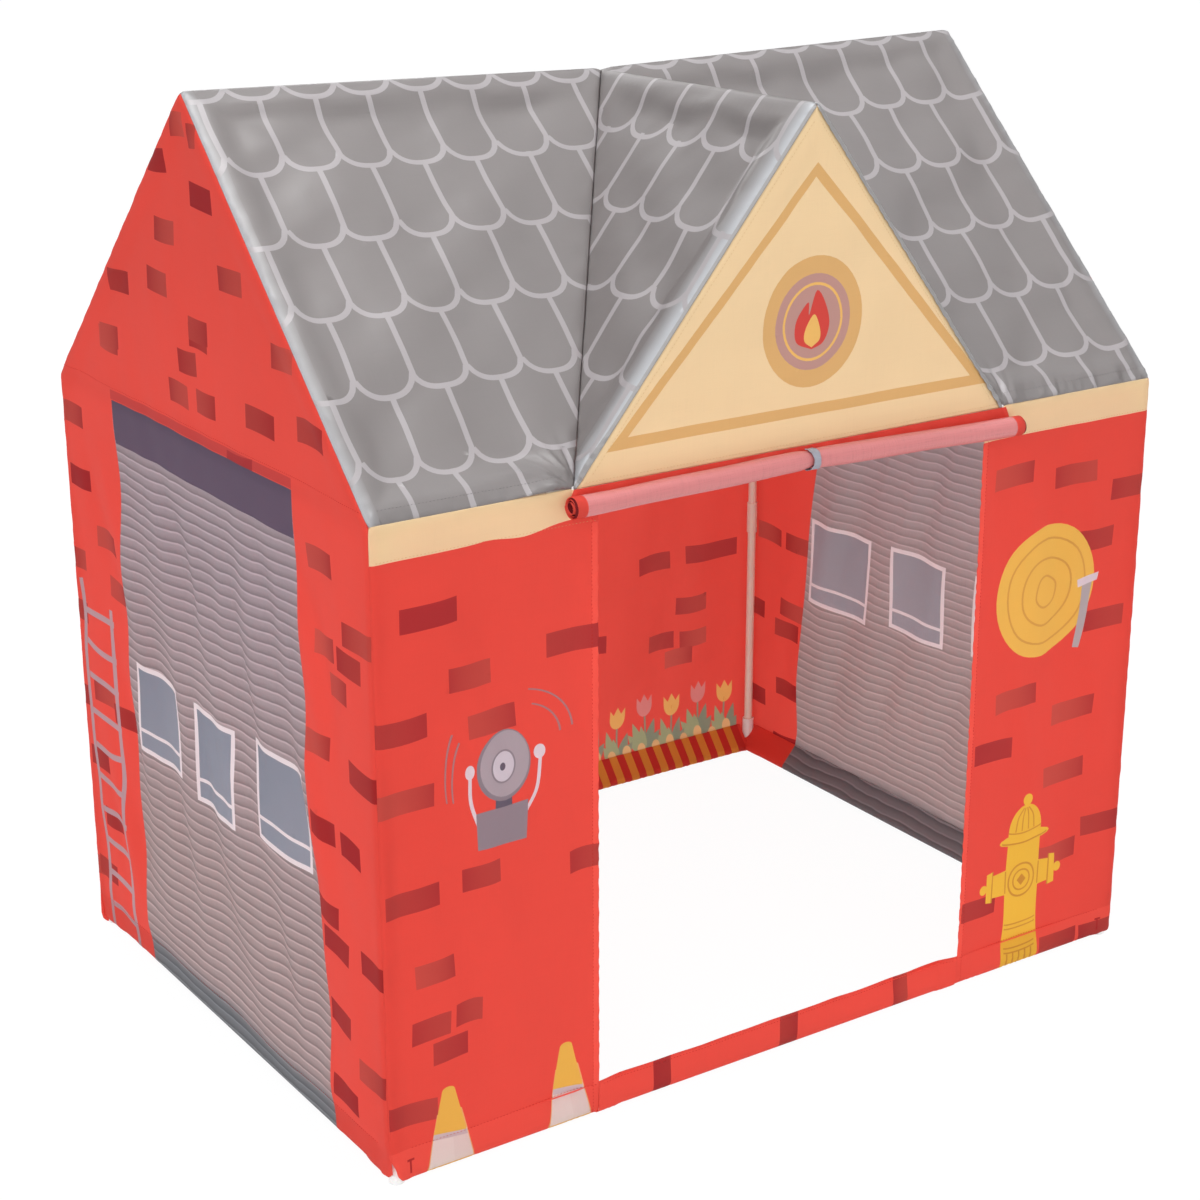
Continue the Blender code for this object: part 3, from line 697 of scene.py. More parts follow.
class Folds:
    """The soft upright folds of a hanging wall, which lean as they come down."""

    def __init__(self, depth, length, first, last, seed, hems=(), peak=EAVE):
        self.depth, self.length, self.first, self.last = depth, length, first, last
        self.hems, self.peak = hems, peak
        self.wide = SoftNoise(seed, 0.24, 2)
        self.fine = SoftNoise(seed + 1, 0.055, 2)

    def __call__(self, u, z):
        from_edge = np.minimum(u - self.first, self.last - u) - FOLD_EDGE
        fade = smooth_step(from_edge / FOLD_FADE) * smooth_step((z - CASING_SEAM) / FOLD_FADE)
        fade *= smooth_step((FOLD_TOP - z) / FOLD_FADE)
        sway = FOLD_SWAY * np.sin(math.tau * z / EAVE) + 0.005 * self.wide(np.column_stack([u, z * 0.35]))
        phase = (u + FOLD_SLANT * z + sway) / self.length
        main = self.depth * fade * (1 - np.cos(math.tau * phase)) / 2
        ease = smooth_step(from_edge / 0.03 + 1) * smooth_step((z - 0.012) / 0.03)
        small = SMALL_WAVE * self.fine(np.column_stack([u + FOLD_SLANT * z, z * 0.22]))
        doubled = sum(np.abs(u - edge) < HEM_WIDTH + 0.0002 for edge in self.hems) * HEM_THICKNESS
        pucker = uneven_wave(z, 310, 2.4, 37) + 0.6 * uneven_wave(z, 530, 2, 61)
        for edge in self.hems:
            near = bell(u - edge, 0.010) * (z > CASING_SEAM + 0.01)
            doubled = doubled + HEM_PUCKER * near * np.maximum(pucker, -0.5)
        loose = WALL_SLACK + small * (0.35 + fade) + SLOW_WAVE * self.wide(np.column_stack([u, z]))
        under = EAVE + (self.peak - EAVE) * (1 - np.abs(u) / HALF_DEPTH) - z
        loose = loose * smooth_step((under - JOINT_REACH) / 0.03)
        return main + ease * np.maximum(loose, 0) - doubled


class Wall:
    """An upright wall whose cloth goes on below v = RAIL_HEIGHT, round the bottom rail and up to the casing's seam."""

    def __init__(self, base, outward, folds, radius=CASING_RADIUS, proud=0.0, lean=0.0):
        self.base, self.outward = base, outward
        self.along = np.cross((0, 0, 1), outward)
        self.folds, self.radius, self.lean = folds, radius, lean
        self.rail_depth = RAIL_DEPTH + proud

    def swollen(self, u):
        """How much wider the casing is over the sockets and the round joints at its ends."""
        from_end = max(abs(self.folds.first), abs(self.folds.last)) - np.abs(u)
        socket = 1 - smooth_step((from_end - SOCKET_END) / 0.02)
        hub = 1 - smooth_step((from_end - HUB_END) / 0.012)
        over_socket = max(OVER_SOCKET - self.radius, 0)
        return over_socket * socket + (OVER_HUB - self.radius - over_socket) * hub

    def place(self, u, v):
        below = np.maximum(RAIL_HEIGHT - v, 0)
        angle = np.minimum(below / CASING_RADIUS, math.pi)
        radius = self.radius + self.swollen(u)
        reach = np.where(angle < math.pi / 2, radius, CASING_SLACK)
        round_depth = self.rail_depth - reach * np.cos(angle)
        height = np.where(v < RAIL_HEIGHT, RAIL_HEIGHT - radius * np.sin(angle), v)
        shoulder = 1 - smooth_step((v - RAIL_HEIGHT) / CASING_SHOULDER)
        upper = (self.rail_depth - radius) * shoulder
        upper = upper + self.lean * np.clip((v - EAVE) / (RIDGE - EAVE), 0, 1)
        depth = np.where(v < RAIL_HEIGHT, round_depth, upper)
        rest = np.maximum(below - math.pi * CASING_RADIUS, 0) / (CASING_LENGTH - math.pi * CASING_RADIUS)
        inner = self.rail_depth + CASING_SLACK
        depth = depth + (CASING_SEAM_DEPTH + self.rail_depth - RAIL_DEPTH - inner) * rest
        height = height + (CASING_SEAM - RAIL_HEIGHT) * rest
        p = self.base + self.along * u[:, None] - self.outward * depth[:, None]
        p[:, 2] = height
        return p

    def settled(self, u, v):
        p = drawn_over_tubes(self.place(u, v))
        hanging = v > RAIL_HEIGHT
        return clear_of_hubs(p - self.outward * np.where(hanging, self.folds(u, v), 0)[:, None])


class Stretched:
    """A sheet drawn tight over the tubes, which then sinks in by its relief."""

    def settled(self, u, v):
        p = self.place(u, v)
        return clear_of_hubs(drawn_over_tubes(p) - self.outward * self.relief(p)[:, None])


class Slope(Stretched):
    """A roof sheet stretched between two rails, from its eave to its ridge."""

    def __init__(self, low_left, low_right, high_left, high_right, outward, relief):
        self.corners = low_left, low_right, high_left, high_right
        self.outward, self.relief = outward, relief
        self.along = unit(low_right - low_left)
        self.up = np.cross(outward, self.along)
        self.low = [float((c - low_left) @ self.along) for c in self.corners]
        self.length = float((high_left - low_left) @ self.up)
        self.start = float(low_left @ self.along)

    def edges(self, v):
        """u of the left and right edges at a height v up the slope."""
        s = v / self.length
        left = self.low[0] + (self.low[2] - self.low[0]) * s
        right = self.low[1] + (self.low[3] - self.low[1]) * s
        return self.start + left, self.start + right

    def place(self, u, v):
        a, b, c, d = self.corners
        s = (v / self.length)[:, None]
        left, right = self.edges(v)
        r = ((u - left) / np.maximum(right - left, 1e-6))[:, None]
        p_left, p_right = a + (c - a) * s, b + (d - b) * s
        return p_left + (p_right - p_left) * r


class Facet(Stretched):
    """A flat sheet: origin at u = v = 0."""

    def __init__(self, origin, along, outward, relief):
        self.origin, self.outward, self.relief = origin, outward, relief
        self.along = unit(along - outward * (along @ outward))
        self.up = np.cross(outward, self.along)

    def flat(self, p):
        """(u, v) of a point on the sheet."""
        return float((p - self.origin) @ self.along), float((p - self.origin) @ self.up)

    def place(self, u, v):
        return self.origin + self.along * u[:, None] + self.up * v[:, None]


# How far the dormer's cloth reaches over the gable on each side, and how its two ends meet at the top
LIP = {-1: 0.0035, 1: 0.0075}
LIP_LIFT = 0.0011
LIP_MITRE = 1.25
# Tucks along the dormer's rafter: their height, how far behind it they run, and their reach
TUCKS = ((0.0024, 0.017, 0.0055), (0.0018, 0.034, 0.006))


class DormerSlope(Facet):
    """A slope of the dormer: its front edge folds over the rafter and lies gathered on the gable's rim."""

    def place(self, u, v):
        p = super().place(u, v)
        beyond = np.maximum((p - self.front.a) @ self.forward, 0)[:, None]
        return p + beyond * (self.down_gable - self.forward)

    def settled(self, u, v):
        flat = super().place(u, v)
        beyond = (flat - self.front.a) @ self.forward
        along = (flat - self.front.a) @ unit(self.front.b - self.front.a)
        crinkle = 0.7 * uneven_wave(along, 430, 2, 61) + 0.5 * uneven_wave(along, 830, 3, 97)
        over = smooth_step((beyond + 0.018) / 0.016)
        gathered = smooth_step((beyond + 0.010) / 0.012)
        foot = 1 - smooth_step((along - 0.030) / 0.040)
        wander = beyond + 0.003 * np.sin(along * 23 + 1)
        tucks = sum(height * bell(wander + behind, reach) for height, behind, reach in TUCKS)
        tucks = tucks * smooth_step(along / 0.03) * (1 - smooth_step((along - 0.09) / 0.22))
        lift = over * LIP_LIFT + tucks + gathered * (0.00045 + 0.0007 * foot) * crinkle
        outward = unit(self.outward + DORMER_GABLE_OUT)
        p = drawn_over_tubes(self.place(u, v)) + outward * lift[:, None]
        p[:, 1] -= np.maximum(beyond, 0) * 0.12
        return clear_of_hubs(p - self.outward * self.relief(flat)[:, None] * (beyond < 0)[:, None])


# Creases round a place where the cloth is gathered, and along a seam
BUNCH_HEIGHT = 0.0075
BUNCH_REACH = 0.044
CRUMPLE_REACH = 0.020


def bunched(p, centre):
    """Creases that stand up round a place where the cloth is gathered, fanning out from it."""
    away = p - centre
    d = np.maximum(np.linalg.norm(away, axis=1), 1e-6)
    fan = np.sin(21 * away[:, 0] / d + 6 * away[:, 2] / d + 60 * d)
    broad = np.sin(8 * away[:, 0] / d + 2 + 30 * d)
    sharp = 1 - 2 * np.abs(np.sin(11 * away[:, 0] / d + 5 * away[:, 2] / d + 30 * d)) ** 0.8
    creases = (2 + 0.6 * fan + broad + 0.8 * sharp) / 4
    return BUNCH_HEIGHT * np.minimum(d / 0.020, 1) * bell(d, BUNCH_REACH) * creases


def sag(tubes, held, depth, seed, strip=0.0205, width=0.03, bulge=0.0012, gathered=None, crumpled=()):
    """How a stretched sheet rises over the tubes along its seams and sinks behind them, with a slow unevenness.
    It comes back to nothing at every seam, so that its neighbours meet it there."""
    wide, middle, fine = SoftNoise(seed, 0.30), SoftNoise(seed + 1, 0.10), SoftNoise(seed + 2, 0.034)

    def relief(p):
        d = np.min([seam.distance(p) for seam in tubes], axis=0)
        free = smooth_step(np.min([seam.distance(p) for seam in held], axis=0) / 0.07) if held else 1
        local = strip * (1 + 0.15 * middle(p))
        rise = bulge * smooth_step(d / local) * (1 - smooth_step((d - local) / width))
        behind = smooth_step((d - local) / width)
        recover = 1 - 0.45 * smooth_step((d - strip - width) / 0.07)
        sunk = behind * recover * depth * (1 + 0.30 * middle(p))
        loose = behind * 0.0011 * wide(p) + smooth_step(d / 0.02) * (0.0004 * middle(p) + 0.0002 * fine(p))
        total = free * (sunk - rise + loose)
        if gathered is not None:
            apart = smooth_step(np.min([seam.distance(p) for seam in held], axis=0) / 0.010)
            total = total - apart * bunched(p, gathered)
        for seam, height in crumpled:
            away = seam.distance(p)
            near = bell(away, CRUMPLE_REACH) * smooth_step(away / 0.004)
            along = (p - seam.a) @ unit(seam.b - seam.a) + 0.35 * away
            wave = 1 - 1.5 * np.abs(uneven_wave(along, 150, 2, 47)) ** 0.8 + 0.5 * uneven_wave(along, 97, 1.5, 29)
            total = total - height * near * np.maximum(wave, -0.3)
        return total

    return relief


# Meshes of the panels


def inside(points, polygon):
    """Which of many points lie inside a polygon."""
    x, y = points[:, 0], points[:, 1]
    result = np.zeros(len(points), bool)
    for (x0, y0), (x1, y1) in zip(polygon, np.roll(polygon, -1, axis=0)):
        if y0 == y1:
            continue
        crosses = (y0 > y) != (y1 > y)
        result ^= crosses & (x < (x1 - x0) * (y - y0) / (y1 - y0) + x0)
    return result


def spaced(loop, step):
    """A closed outline with points no further apart than step."""
    out = []
    for a, b in zip(loop, np.roll(loop, -1, axis=0)):
        count = max(1, math.ceil(np.linalg.norm(b - a) / step))
        out += [a + (b - a) * i / count for i in range(count)]
    return np.array(out)


# The denser net where the cloth is gathered
GATHER_REACH = 0.062
GATHER_STEP = 0.0026
# Rows of points along a panel's edges, in millimetres: how far in they lie, and how far apart their points are
EDGE_ROWS = ((1.3, 4), (3.2, 4), (6, 5), (10, 6), (15, 6), (21, 7), (28, 7), (36, 8))
# The least room between a point of the net and the prints' outlines, and between two points of the net
OUTLINE_ROOM = 0.9 * MM
NET_ROOM = 2.2 * MM
NET_CELL = 3 * MM


def net_points(outline, step, edge_step, gathered=None):
    """A net of points inside an outline, closer together along its edges and where the cloth is gathered."""
    low, high = outline.min(axis=0), outline.max(axis=0)
    rows = np.arange(low[1], high[1], step * 0.866)
    net = []
    for k, v in enumerate(rows):
        us = np.arange(low[0] + (step / 2 if k % 2 else 0), high[0], step)
        net.append(np.column_stack([us, np.full(len(us), v)]))
    net = np.vstack(net)
    dense = []
    for a, b in zip(outline, np.roll(outline, -1, axis=0)):
        length = np.linalg.norm(b - a)
        way = (b - a) / length
        normal = np.array([-way[1], way[0]])
        for depth, spacing in EDGE_ROWS:
            along = np.arange(spacing * MM / 2, length, spacing * MM * edge_step)
            dense.append(a + way * along[:, None] + normal * depth * MM)
    if gathered is not None:
        offsets = np.arange(-GATHER_REACH, GATHER_REACH, GATHER_STEP)
        u, v = np.meshgrid(gathered[0] + offsets, gathered[1] + offsets)
        patch = np.column_stack([u.ravel(), v.ravel()])
        dense.insert(0, patch[np.linalg.norm(patch - gathered, axis=1) < GATHER_REACH])
    dense = np.vstack(dense)
    return np.vstack([dense[inside(dense, outline)], net[inside(net, outline)]])


def panel_mesh(name, panel, outline, prints, step=9 * MM, edge_step=1.0, gathered=None):
    """One printed sheet: its outline and every printed shape are cut into one mesh, and each face is inked."""
    outline = np.array(outline, float)
    shapes = [(spaced(np.array(shape, float) * MM, step), colour) for shape, colour in prints]
    low, high = outline.min(axis=0), outline.max(axis=0)
    shapes = [(s, c) for s, c in shapes if (s.max(axis=0) > low).all() and (s.min(axis=0) < high).all()]
    loops = [spaced(outline, 4 * MM)] + [s for s, _ in shapes]
    fixed = np.vstack(loops)
    edges, start = [], 0
    for loop in loops:
        count = len(loop)
        edges += [(start + i, start + (i + 1) % count) for i in range(count)]
        start += count
    tree = KDTree(len(fixed))
    for i, (u, v) in enumerate(fixed):
        tree.insert((u, v, 0), i)
    tree.balance()
    net = net_points(outline, step, edge_step, gathered)
    placed = []
    grown = {}
    for u, v in net:
        if tree.find((u, v, 0))[2] < OUTLINE_ROOM:
            continue
        cell = (int(u / NET_CELL), int(v / NET_CELL))
        near = [grown.get((cell[0] + i, cell[1] + j)) for i in (-1, 0, 1) for j in (-1, 0, 1)]
        if any(q and math.hypot(q[0] - u, q[1] - v) < NET_ROOM for q in near):
            continue
        grown[cell] = (u, v)
        placed.append((u, v))
    points = [Vector(p) for p in fixed.tolist()] + [Vector(p) for p in placed]
    cut = delaunay_2d_cdt(points, edges, [], 0, 1e-6, False)
    flat = np.array([tuple(p) for p in cut[0]])
    triangles = np.array([tuple(f) for f in cut[2]])
    centres = flat[triangles].mean(axis=1)
    keep = inside(centres, loops[0])
    triangles, centres = triangles[keep], centres[keep]
    used, triangles = np.unique(triangles, return_inverse=True)
    triangles = triangles.reshape(-1, 3)
    flat = flat[used]

    # The first print is larger than the panel, so its colour is the bare cloth's
    colours = np.tile(np.array(prints[0][1]), (len(triangles) * 3, 1))
    corners = flat[triangles].reshape(-1, 2)
    for shape, colour in shapes:
        box_low, box_high = shape.min(axis=0), shape.max(axis=0)
        near = np.flatnonzero((centres >= box_low).all(axis=1) & (centres <= box_high).all(axis=1))
        hit = near[inside(centres[near], shape)]
        which = (hit[:, None] * 3 + np.arange(3)).ravel()
        colours[which] = colour(corners[which] / MM) if callable(colour) else colour
    return mesh_object(name, panel.settled(flat[:, 0], flat[:, 1]), triangles, flat, colours)


def mesh_object(name, points, faces, flat=None, colours=None):
    mesh = bpy.data.meshes.new(name)
    mesh.from_pydata(np.asarray(points).tolist(), [], np.asarray(faces).tolist())
    if flat is not None:
        layer = mesh.uv_layers.new(name="flat")
        layer.data.foreach_set("uv", flat[np.asarray(faces)].ravel())
    if colours is not None:
        attribute = mesh.color_attributes.new("ink", "FLOAT_COLOR", "CORNER")
        attribute.data.foreach_set("color", colours.ravel())
    mesh.shade_smooth()
    obj = bpy.data.objects.new(name, mesh)
    bpy.context.scene.collection.objects.link(obj)
    return obj


def thicken(obj, thickness=CLOTH, inner_material=0):
    solid = obj.modifiers.new("cloth", "SOLIDIFY")
    solid.thickness = thickness
    solid.offset = -1
    solid.material_offset = inner_material
    return obj


# Materials


class Shader:
    """The nodes of a material or of the world, added one by one."""

    def __init__(self, holder):
        holder.use_nodes = True
        self.holder, self.tree = holder, holder.node_tree
        self.tree.nodes.clear()

    def node(self, kind, settings=None, **inputs):
        """A node with some of its settings and inputs given. An input may be a value or another socket, and is
        named, or numbered as _0, _1 and so on."""
        node = self.tree.nodes.new(kind)
        for key, value in (settings or {}).items():
            setattr(node, key, value)
        for key, value in inputs.items():
            name = key.replace("_", " ")
            sockets = [s for s in node.inputs if s.name == name and s.enabled]
            socket = sockets[0] if sockets else node.inputs[int(key[1:])]
            if isinstance(value, bpy.types.NodeSocket):
                self.tree.links.new(value, socket)
            else:
                socket.default_value = value
        return node

    def math(self, operation, a, b=0.0):
        return self.node("ShaderNodeMath", {"operation": operation}, _0=a, _1=b).outputs[0]

    def mix(self, share, a, b, blend="MIX"):
        node = self.node("ShaderNodeMix", {"data_type": "RGBA", "blend_type": blend}, Factor=share, A=a, B=b)
        return [s for s in node.outputs if s.enabled][0]

    def mix_shaders(self, share, a, b):
        """a where share is 0, and b where it is 1."""
        return self.node("ShaderNodeMixShader", _0=share, _1=a, _2=b).outputs[0]

    def grey(self, level):
        return self.node("ShaderNodeCombineXYZ", X=level, Y=level, Z=level).outputs[0]

    def noise(self, vector, scale, detail=2.0, rough=0.5):
        node = self.node("ShaderNodeTexNoise", Vector=vector, Scale=scale, Detail=detail, Roughness=rough)
        return node.outputs["Fac"]

    def scaled(self, vector, scale):
        return self.node("ShaderNodeMapping", Vector=vector, Scale=scale).outputs[0]

    def ramp(self, factor, stops):
        node = self.node("ShaderNodeValToRGB", Fac=factor)
        ramp = node.color_ramp
        while len(ramp.elements) < len(stops):
            ramp.elements.new(0.5)
        for element, (place, colour) in zip(ramp.elements, stops):
            element.position = place
            element.color = (colour, colour, colour, 1) if isinstance(colour, float) else colour
        return node.outputs["Color"]

    def spread(self, factor, low, high):
        return self.node("ShaderNodeMapRange", Value=factor, To_Min=low, To_Max=high).outputs[0]

    def finish(self, surface, output="ShaderNodeOutputMaterial"):
        self.node(output, Surface=surface)
        return self.holder


# The shutter's slats: their pitch, how far they wander, and how light the print is from a slat's foot to its top
SLAT_PITCH = 0.0128
SLAT_WANDER = 0.0062
SLAT_LIGHT = 1.44
SLAT_SHADES = ((0, 0.52), (0.16, 0.66), (0.5, 0.93), (0.8, 1.04), (0.835, SLAT_LIGHT), (0.95, SLAT_LIGHT), (1, 0.52))
REVERSE_PALE = ink(206, 190, 184)


def printed(s, flat, faded):
    """The print's colours, with slats where the ink's alpha is nothing. faded is for the reverse of the cloth, where
    the greys are pale and the red goes right through."""
    print_ink = s.node("ShaderNodeAttribute", {"attribute_name": "ink"}).outputs
    height = s.node("ShaderNodeSeparateXYZ", Vector=flat).outputs["Y"]
    wander = s.spread(s.noise(s.scaled(flat, (11, 5, 1)), 1.0, 3), -SLAT_WANDER, SLAT_WANDER)
    wave = s.math("FRACT", s.math("DIVIDE", s.math("ADD", height, wander), SLAT_PITCH))
    slat_shade = s.ramp(wave, [(place, shade / SLAT_LIGHT) for place, shade in SLAT_SHADES])
    tint = s.mix(1.0, print_ink["Color"], slat_shade, "MULTIPLY")
    brighter = s.mix(1.0, tint, (SLAT_LIGHT, SLAT_LIGHT, SLAT_LIGHT, 1), "MULTIPLY")
    base = s.mix(print_ink["Alpha"], brighter, print_ink["Color"])
    if faded:
        parts = s.node("ShaderNodeSeparateColor", Color=print_ink["Color"]).outputs
        greyness = s.math("MINIMUM", s.math("DIVIDE", parts["Green"], parts["Red"]), 1.0)
        base = s.mix(s.math("MULTIPLY", greyness, faded), base, REVERSE_PALE)
    return base


def woven_cloth(name, colour=None, roughness=0.55, gloss=0.14, through=0.5, streak=0.05, grain=0.22, faded=0.0):
    """Thin woven polyester: slubs along both ways of the weave, a soft gloss, and light that comes through.
    The colour is lightened by as much as the light that goes through takes from it."""
    s = Shader(bpy.data.materials.new(name))
    flat = s.node("ShaderNodeUVMap", {"uv_map": "flat"}).outputs[0]
    place = s.node("ShaderNodeTexCoord").outputs["Object"]
    warp = s.noise(s.scaled(flat, (900, 22, 1)), 1.0, 3)
    weft = s.noise(s.scaled(flat, (22, 900, 1)), 1.0, 3)
    slub = s.math("ADD", warp, weft)
    base = printed(s, flat, faded) if colour is None else colour
    cloudy = s.spread(s.noise(place, 7.0, 3), 0.955, 1.045)
    threads = s.spread(slub, 1.0 - streak, 1.0 + streak)
    base = s.mix(1.0, base, s.grey(s.math("MULTIPLY", cloudy, threads)), "MULTIPLY")
    base = s.node("ShaderNodeGamma", Color=base, Gamma=1 - through / 2).outputs[0]
    crinkle = s.noise(place, 130.0, 3)
    weave = s.noise(s.scaled(flat, (2600, 2600, 1)), 1.0, 1)
    bumps = s.math("ADD", s.math("MULTIPLY", slub, 0.5), s.math("MULTIPLY", crinkle, 0.8))
    bumps = s.math("ADD", bumps, s.math("MULTIPLY", weave, 0.25))
    bump = s.node("ShaderNodeBump", Strength=grain, Distance=0.0006, Height=bumps).outputs[0]
    rough = s.spread(s.noise(place, 40.0, 2), roughness - 0.05, roughness + 0.06)
    cloth = s.node(
        "ShaderNodeBsdfPrincipled", Base_Color=base, Roughness=rough, Normal=bump, Specular_IOR_Level=gloss
    )
    lit_through = s.node("ShaderNodeGamma", Color=base, Gamma=0.5).outputs[0]
    glow = s.node("ShaderNodeBsdfTranslucent", Color=lit_through, Normal=bump)
    return s.finish(s.mix_shaders(through, cloth.outputs[0], glow.outputs[0]))


def moulded_plastic(name, colour, roughness, scratch=0.3):
    """Moulded or drawn plastic: faint flow marks, uneven dust and a fine uneven gloss."""
    s = Shader(bpy.data.materials.new(name))
    place = s.node("ShaderNodeTexCoord").outputs["Object"]
    flow = s.noise(s.scaled(place, (60, 60, 14)), 1.0, 3)
    dust = s.spread(s.noise(place, 16.0, 4), 0.93, 1.03)
    base = s.mix(1.0, colour, s.grey(dust), "MULTIPLY")
    rough = s.spread(flow, roughness - 0.07, roughness + 0.1)
    pits = s.math("ADD", s.math("MULTIPLY", flow, scratch), s.noise(place, 900.0, 1))
    bump = s.node("ShaderNodeBump", Strength=0.12, Distance=0.0003, Height=pits).outputs[0]
    surface = {"Base_Color": base, "Roughness": rough, "Normal": bump}
    plastic = s.node("ShaderNodeBsdfPrincipled", **surface, Subsurface_Weight=0.08, Subsurface_Scale=0.004)
    return s.finish(plastic.outputs[0])


WALL_CLOTH = woven_cloth("printed_wall_cloth")
WALL_REVERSE = woven_cloth("printed_wall_reverse", faded=0.34)
ROOF_CLOTH = woven_cloth("printed_roof_cloth", roughness=0.32, gloss=0.85, through=0.25, grain=0.11)
GABLE_CLOTH = woven_cloth("printed_cream_cloth", roughness=0.5, through=0.3)
WEB_CLOTH = woven_cloth("door_print_side", colour=RED, roughness=0.5)
# Painted shade for the gaps between the rolled door's turns
PAINTED_SHADE_CLOTH = woven_cloth("door_painted_shade_between_turns", ink(104, 20, 24), 0.7, through=0.05)
REVERSE_CLOTH = woven_cloth("door_reverse_side", ink(194, 108, 108), 0.32, 0.8, 0.15, streak=0.26, grain=0.7)
RIBBON_CLOTH = woven_cloth("grey_ribbon", ink(150, 150, 160), 0.4, through=0.1, streak=0.12, grain=0.5)
THREAD_RED = woven_cloth("red_thread", ink(205, 48, 42), 0.6, through=0.1)
THREAD_GREY = woven_cloth("grey_thread", ink(126, 122, 124), 0.6, through=0.1)
THREAD_CREAM = woven_cloth("cream_thread", ink(226, 190, 138), 0.6, through=0.1)
TUBE_PLASTIC = moulded_plastic("cream_tube_plastic", ink(240, 228, 214), 0.38)
JOINT_PLASTIC = moulded_plastic("white_joint_plastic", ink(240, 240, 238), 0.34)


def dress(obj, body, material, slot, *nodes):
    """Gives a piece its material, the body it rides on and the nodes it stands for. Its slot is not used."""
    obj.data.materials.append(material)
    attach(obj, body)
    if nodes:
        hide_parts(*nodes)
    return obj


# Walls


# The bricks' places and widths
SIDE_BRICKS = {
    -1: [
        (-228, 797, 50), (14, 844, 42), (-13, 813, 42), (-39, 773, 46), (28, 775, 46), (-347, 684, 54),
        (-340, 607, 54), (156, 784, 62), (266, 794, 60), (-280, 540, 58), (-371, 498, 44),
        (275, 667, 56), (-256, 484, 50), (271, 575, 50), (350, 604, 62), (329, 572, 52), (299, 537, 46),
        (-374, 429, 46), (249, 461, 50), (-378, 317, 44), (-314, 334, 56), (-262, 318, 52), (352, 455, 62),
        (-342, 239, 52), (259, 370, 46), (319, 365, 44), (-315, 165, 50), (-378, 83, 44), (-344, 85, 50),
        (259, 275, 50), (275, 240, 58), (359, 244, 52), (278, 155, 54), (351, 117, 58), (287, 67, 58),
        (40, 996, 56), (-58, 948, 50), (-189, 871, 48), (-79, 890, 52), (-225, 802, 50), (15, 852, 44),
        (99, 919, 54), (212, 861, 50), (-9, 1066, 30), (26, 1058, 20), (-65, 1023, 40),
    ],
    1: [
        (339, 348, 58), (272, 348, 52), (375, 225, 50), (281, 244, 58), (293, 210, 56), (368, 88, 54),
        (290, 118, 54), (289, 32, 56), (330, 520, 56), (356, 640, 54), (290, 610, 56), (-352, 604, 58),
        (-300, 560, 54), (-340, 470, 50), (-290, 400, 52), (-352, 330, 54), (-300, 250, 56), (-345, 170, 54),
        (-290, 96, 50), (-350, 60, 54), (60, 980, 52), (-40, 932, 52), (90, 872, 50), (-120, 846, 54),
        (170, 800, 54), (-10, 800, 48), (-230, 790, 54), (260, 762, 50),
    ],
}
BACK_BRICKS = [
    (-346, 324, 56), (-448, 326, 96), (-410, 252, 52), (-360, 200, 46), (-416, 198, 46), (-391, 170, 46),
    (-300, 470, 60), (-420, 520, 62), (-360, 610, 60), (-180, 560, 62), (-120, 480, 58), (-60, 640, 60),
    (20, 540, 62), (-140, 330, 60), (-20, 400, 58), (60, 300, 60), (110, 620, 62), (190, 500, 60),
    (250, 360, 62), (330, 590, 60), (420, 470, 62), (460, 640, 58), (390, 300, 60), (300, 220, 58),
    (150, 200, 60), (-230, 220, 58), (470, 210, 56),
]
LEFT_PIER_BRICKS = [
    (-462, 627, 66), (-293, 567, 62), (-415, 553, 52), (-390, 499, 58), (-499, 513, 62), (-495, 435, 68),
    (-406, 330, 44), (-489, 323, 66), (-277, 317, 40), (-464, 236, 48), (-472, 172, 48), (-424, 176, 34),
    (-449, 142, 44), (-497, 79, 60),
]
RIGHT_PIER_BRICKS = [
    (319, 641, 60), (417, 628, 62), (504, 600, 60), (453, 542, 62), (478, 437, 62), (341, 361, 66),
    (436, 326, 66), (307, 301, 62), (428, 246, 66), (495, 163, 62), (425, 139, 60), (295, 98, 58),
    (433, 14, 62), (500, 12, 58),
]
# The shutters' left and right edges from top to bottom, and their windows
SHUTTERS = {
    -1: (
        [(-225, 727), (-229, 560), (-238, 420), (-240, 300), (-236, 150), (-226, 40), (-222, -60)],
        [(218, 727), (220, 600), (226, 430), (236, 300), (246, 150), (252, 40), (254, -60)],
        [(-215, -100, 298, 408), (-62, 44, 286, 405), (92, 214, 297, 414)],
    ),
    1: (
        [(-225, 727), (-222, 560), (-228, 420), (-232, 300), (-226, 150), (-230, 40), (-230, -60)],
        [(225, 727), (226, 600), (240, 430), (252, 300), (262, 150), (264, 40), (262, -60)],
        [(-220, -100, 290, 404), (-50, 64, 284, 402), (110, 240, 272, 396)],
    ),
}
SHUTTER_BOX = 52
# The lower edge of the cream fascia under the eaves
FASCIA_LOW = 690


def oblong(u0, u1, v0, v1):
    return [(u0, v0), (u1, v0), (u1, v1), (u0, v1)]


def sized(places, dark=BRICK):
    """Bricks of the usual height."""
    return bricks([(u, v, width, 26) for u, v, width in places], dark)


def ground(colour):
    """The first print of a panel, larger than the panel, is the colour of its cloth."""
    return [(oblong(-600, 600, -100, 1200), colour)]


def casing():
    """The doubled cloth round a rail lets less light through, so it is painted a lighter red, to look as bright as the
    rest all the same.
    """
    return [(oblong(-600, 600, -100, CASING_SEAM / MM), CASING_PAINTED_LIGHT_RED)]


# How a wall's foot is cut at a corner: the share of HEM_END from the end, and the height there
SIDE_CORNER = [(0.0, 0.016), (0.3, 0.010), (1.0, 0.006)]
ROUND_CORNER = [(0.0, 0.011), (0.06, 0.004), (0.2, -0.001), (0.45, -0.004), (1.0, -0.005)]
FRONT_CORNER = [(0.0, 0.036), (0.33, 0.022), (0.46, 0.011), (0.70, 0.004), (1.0, 0.001)]


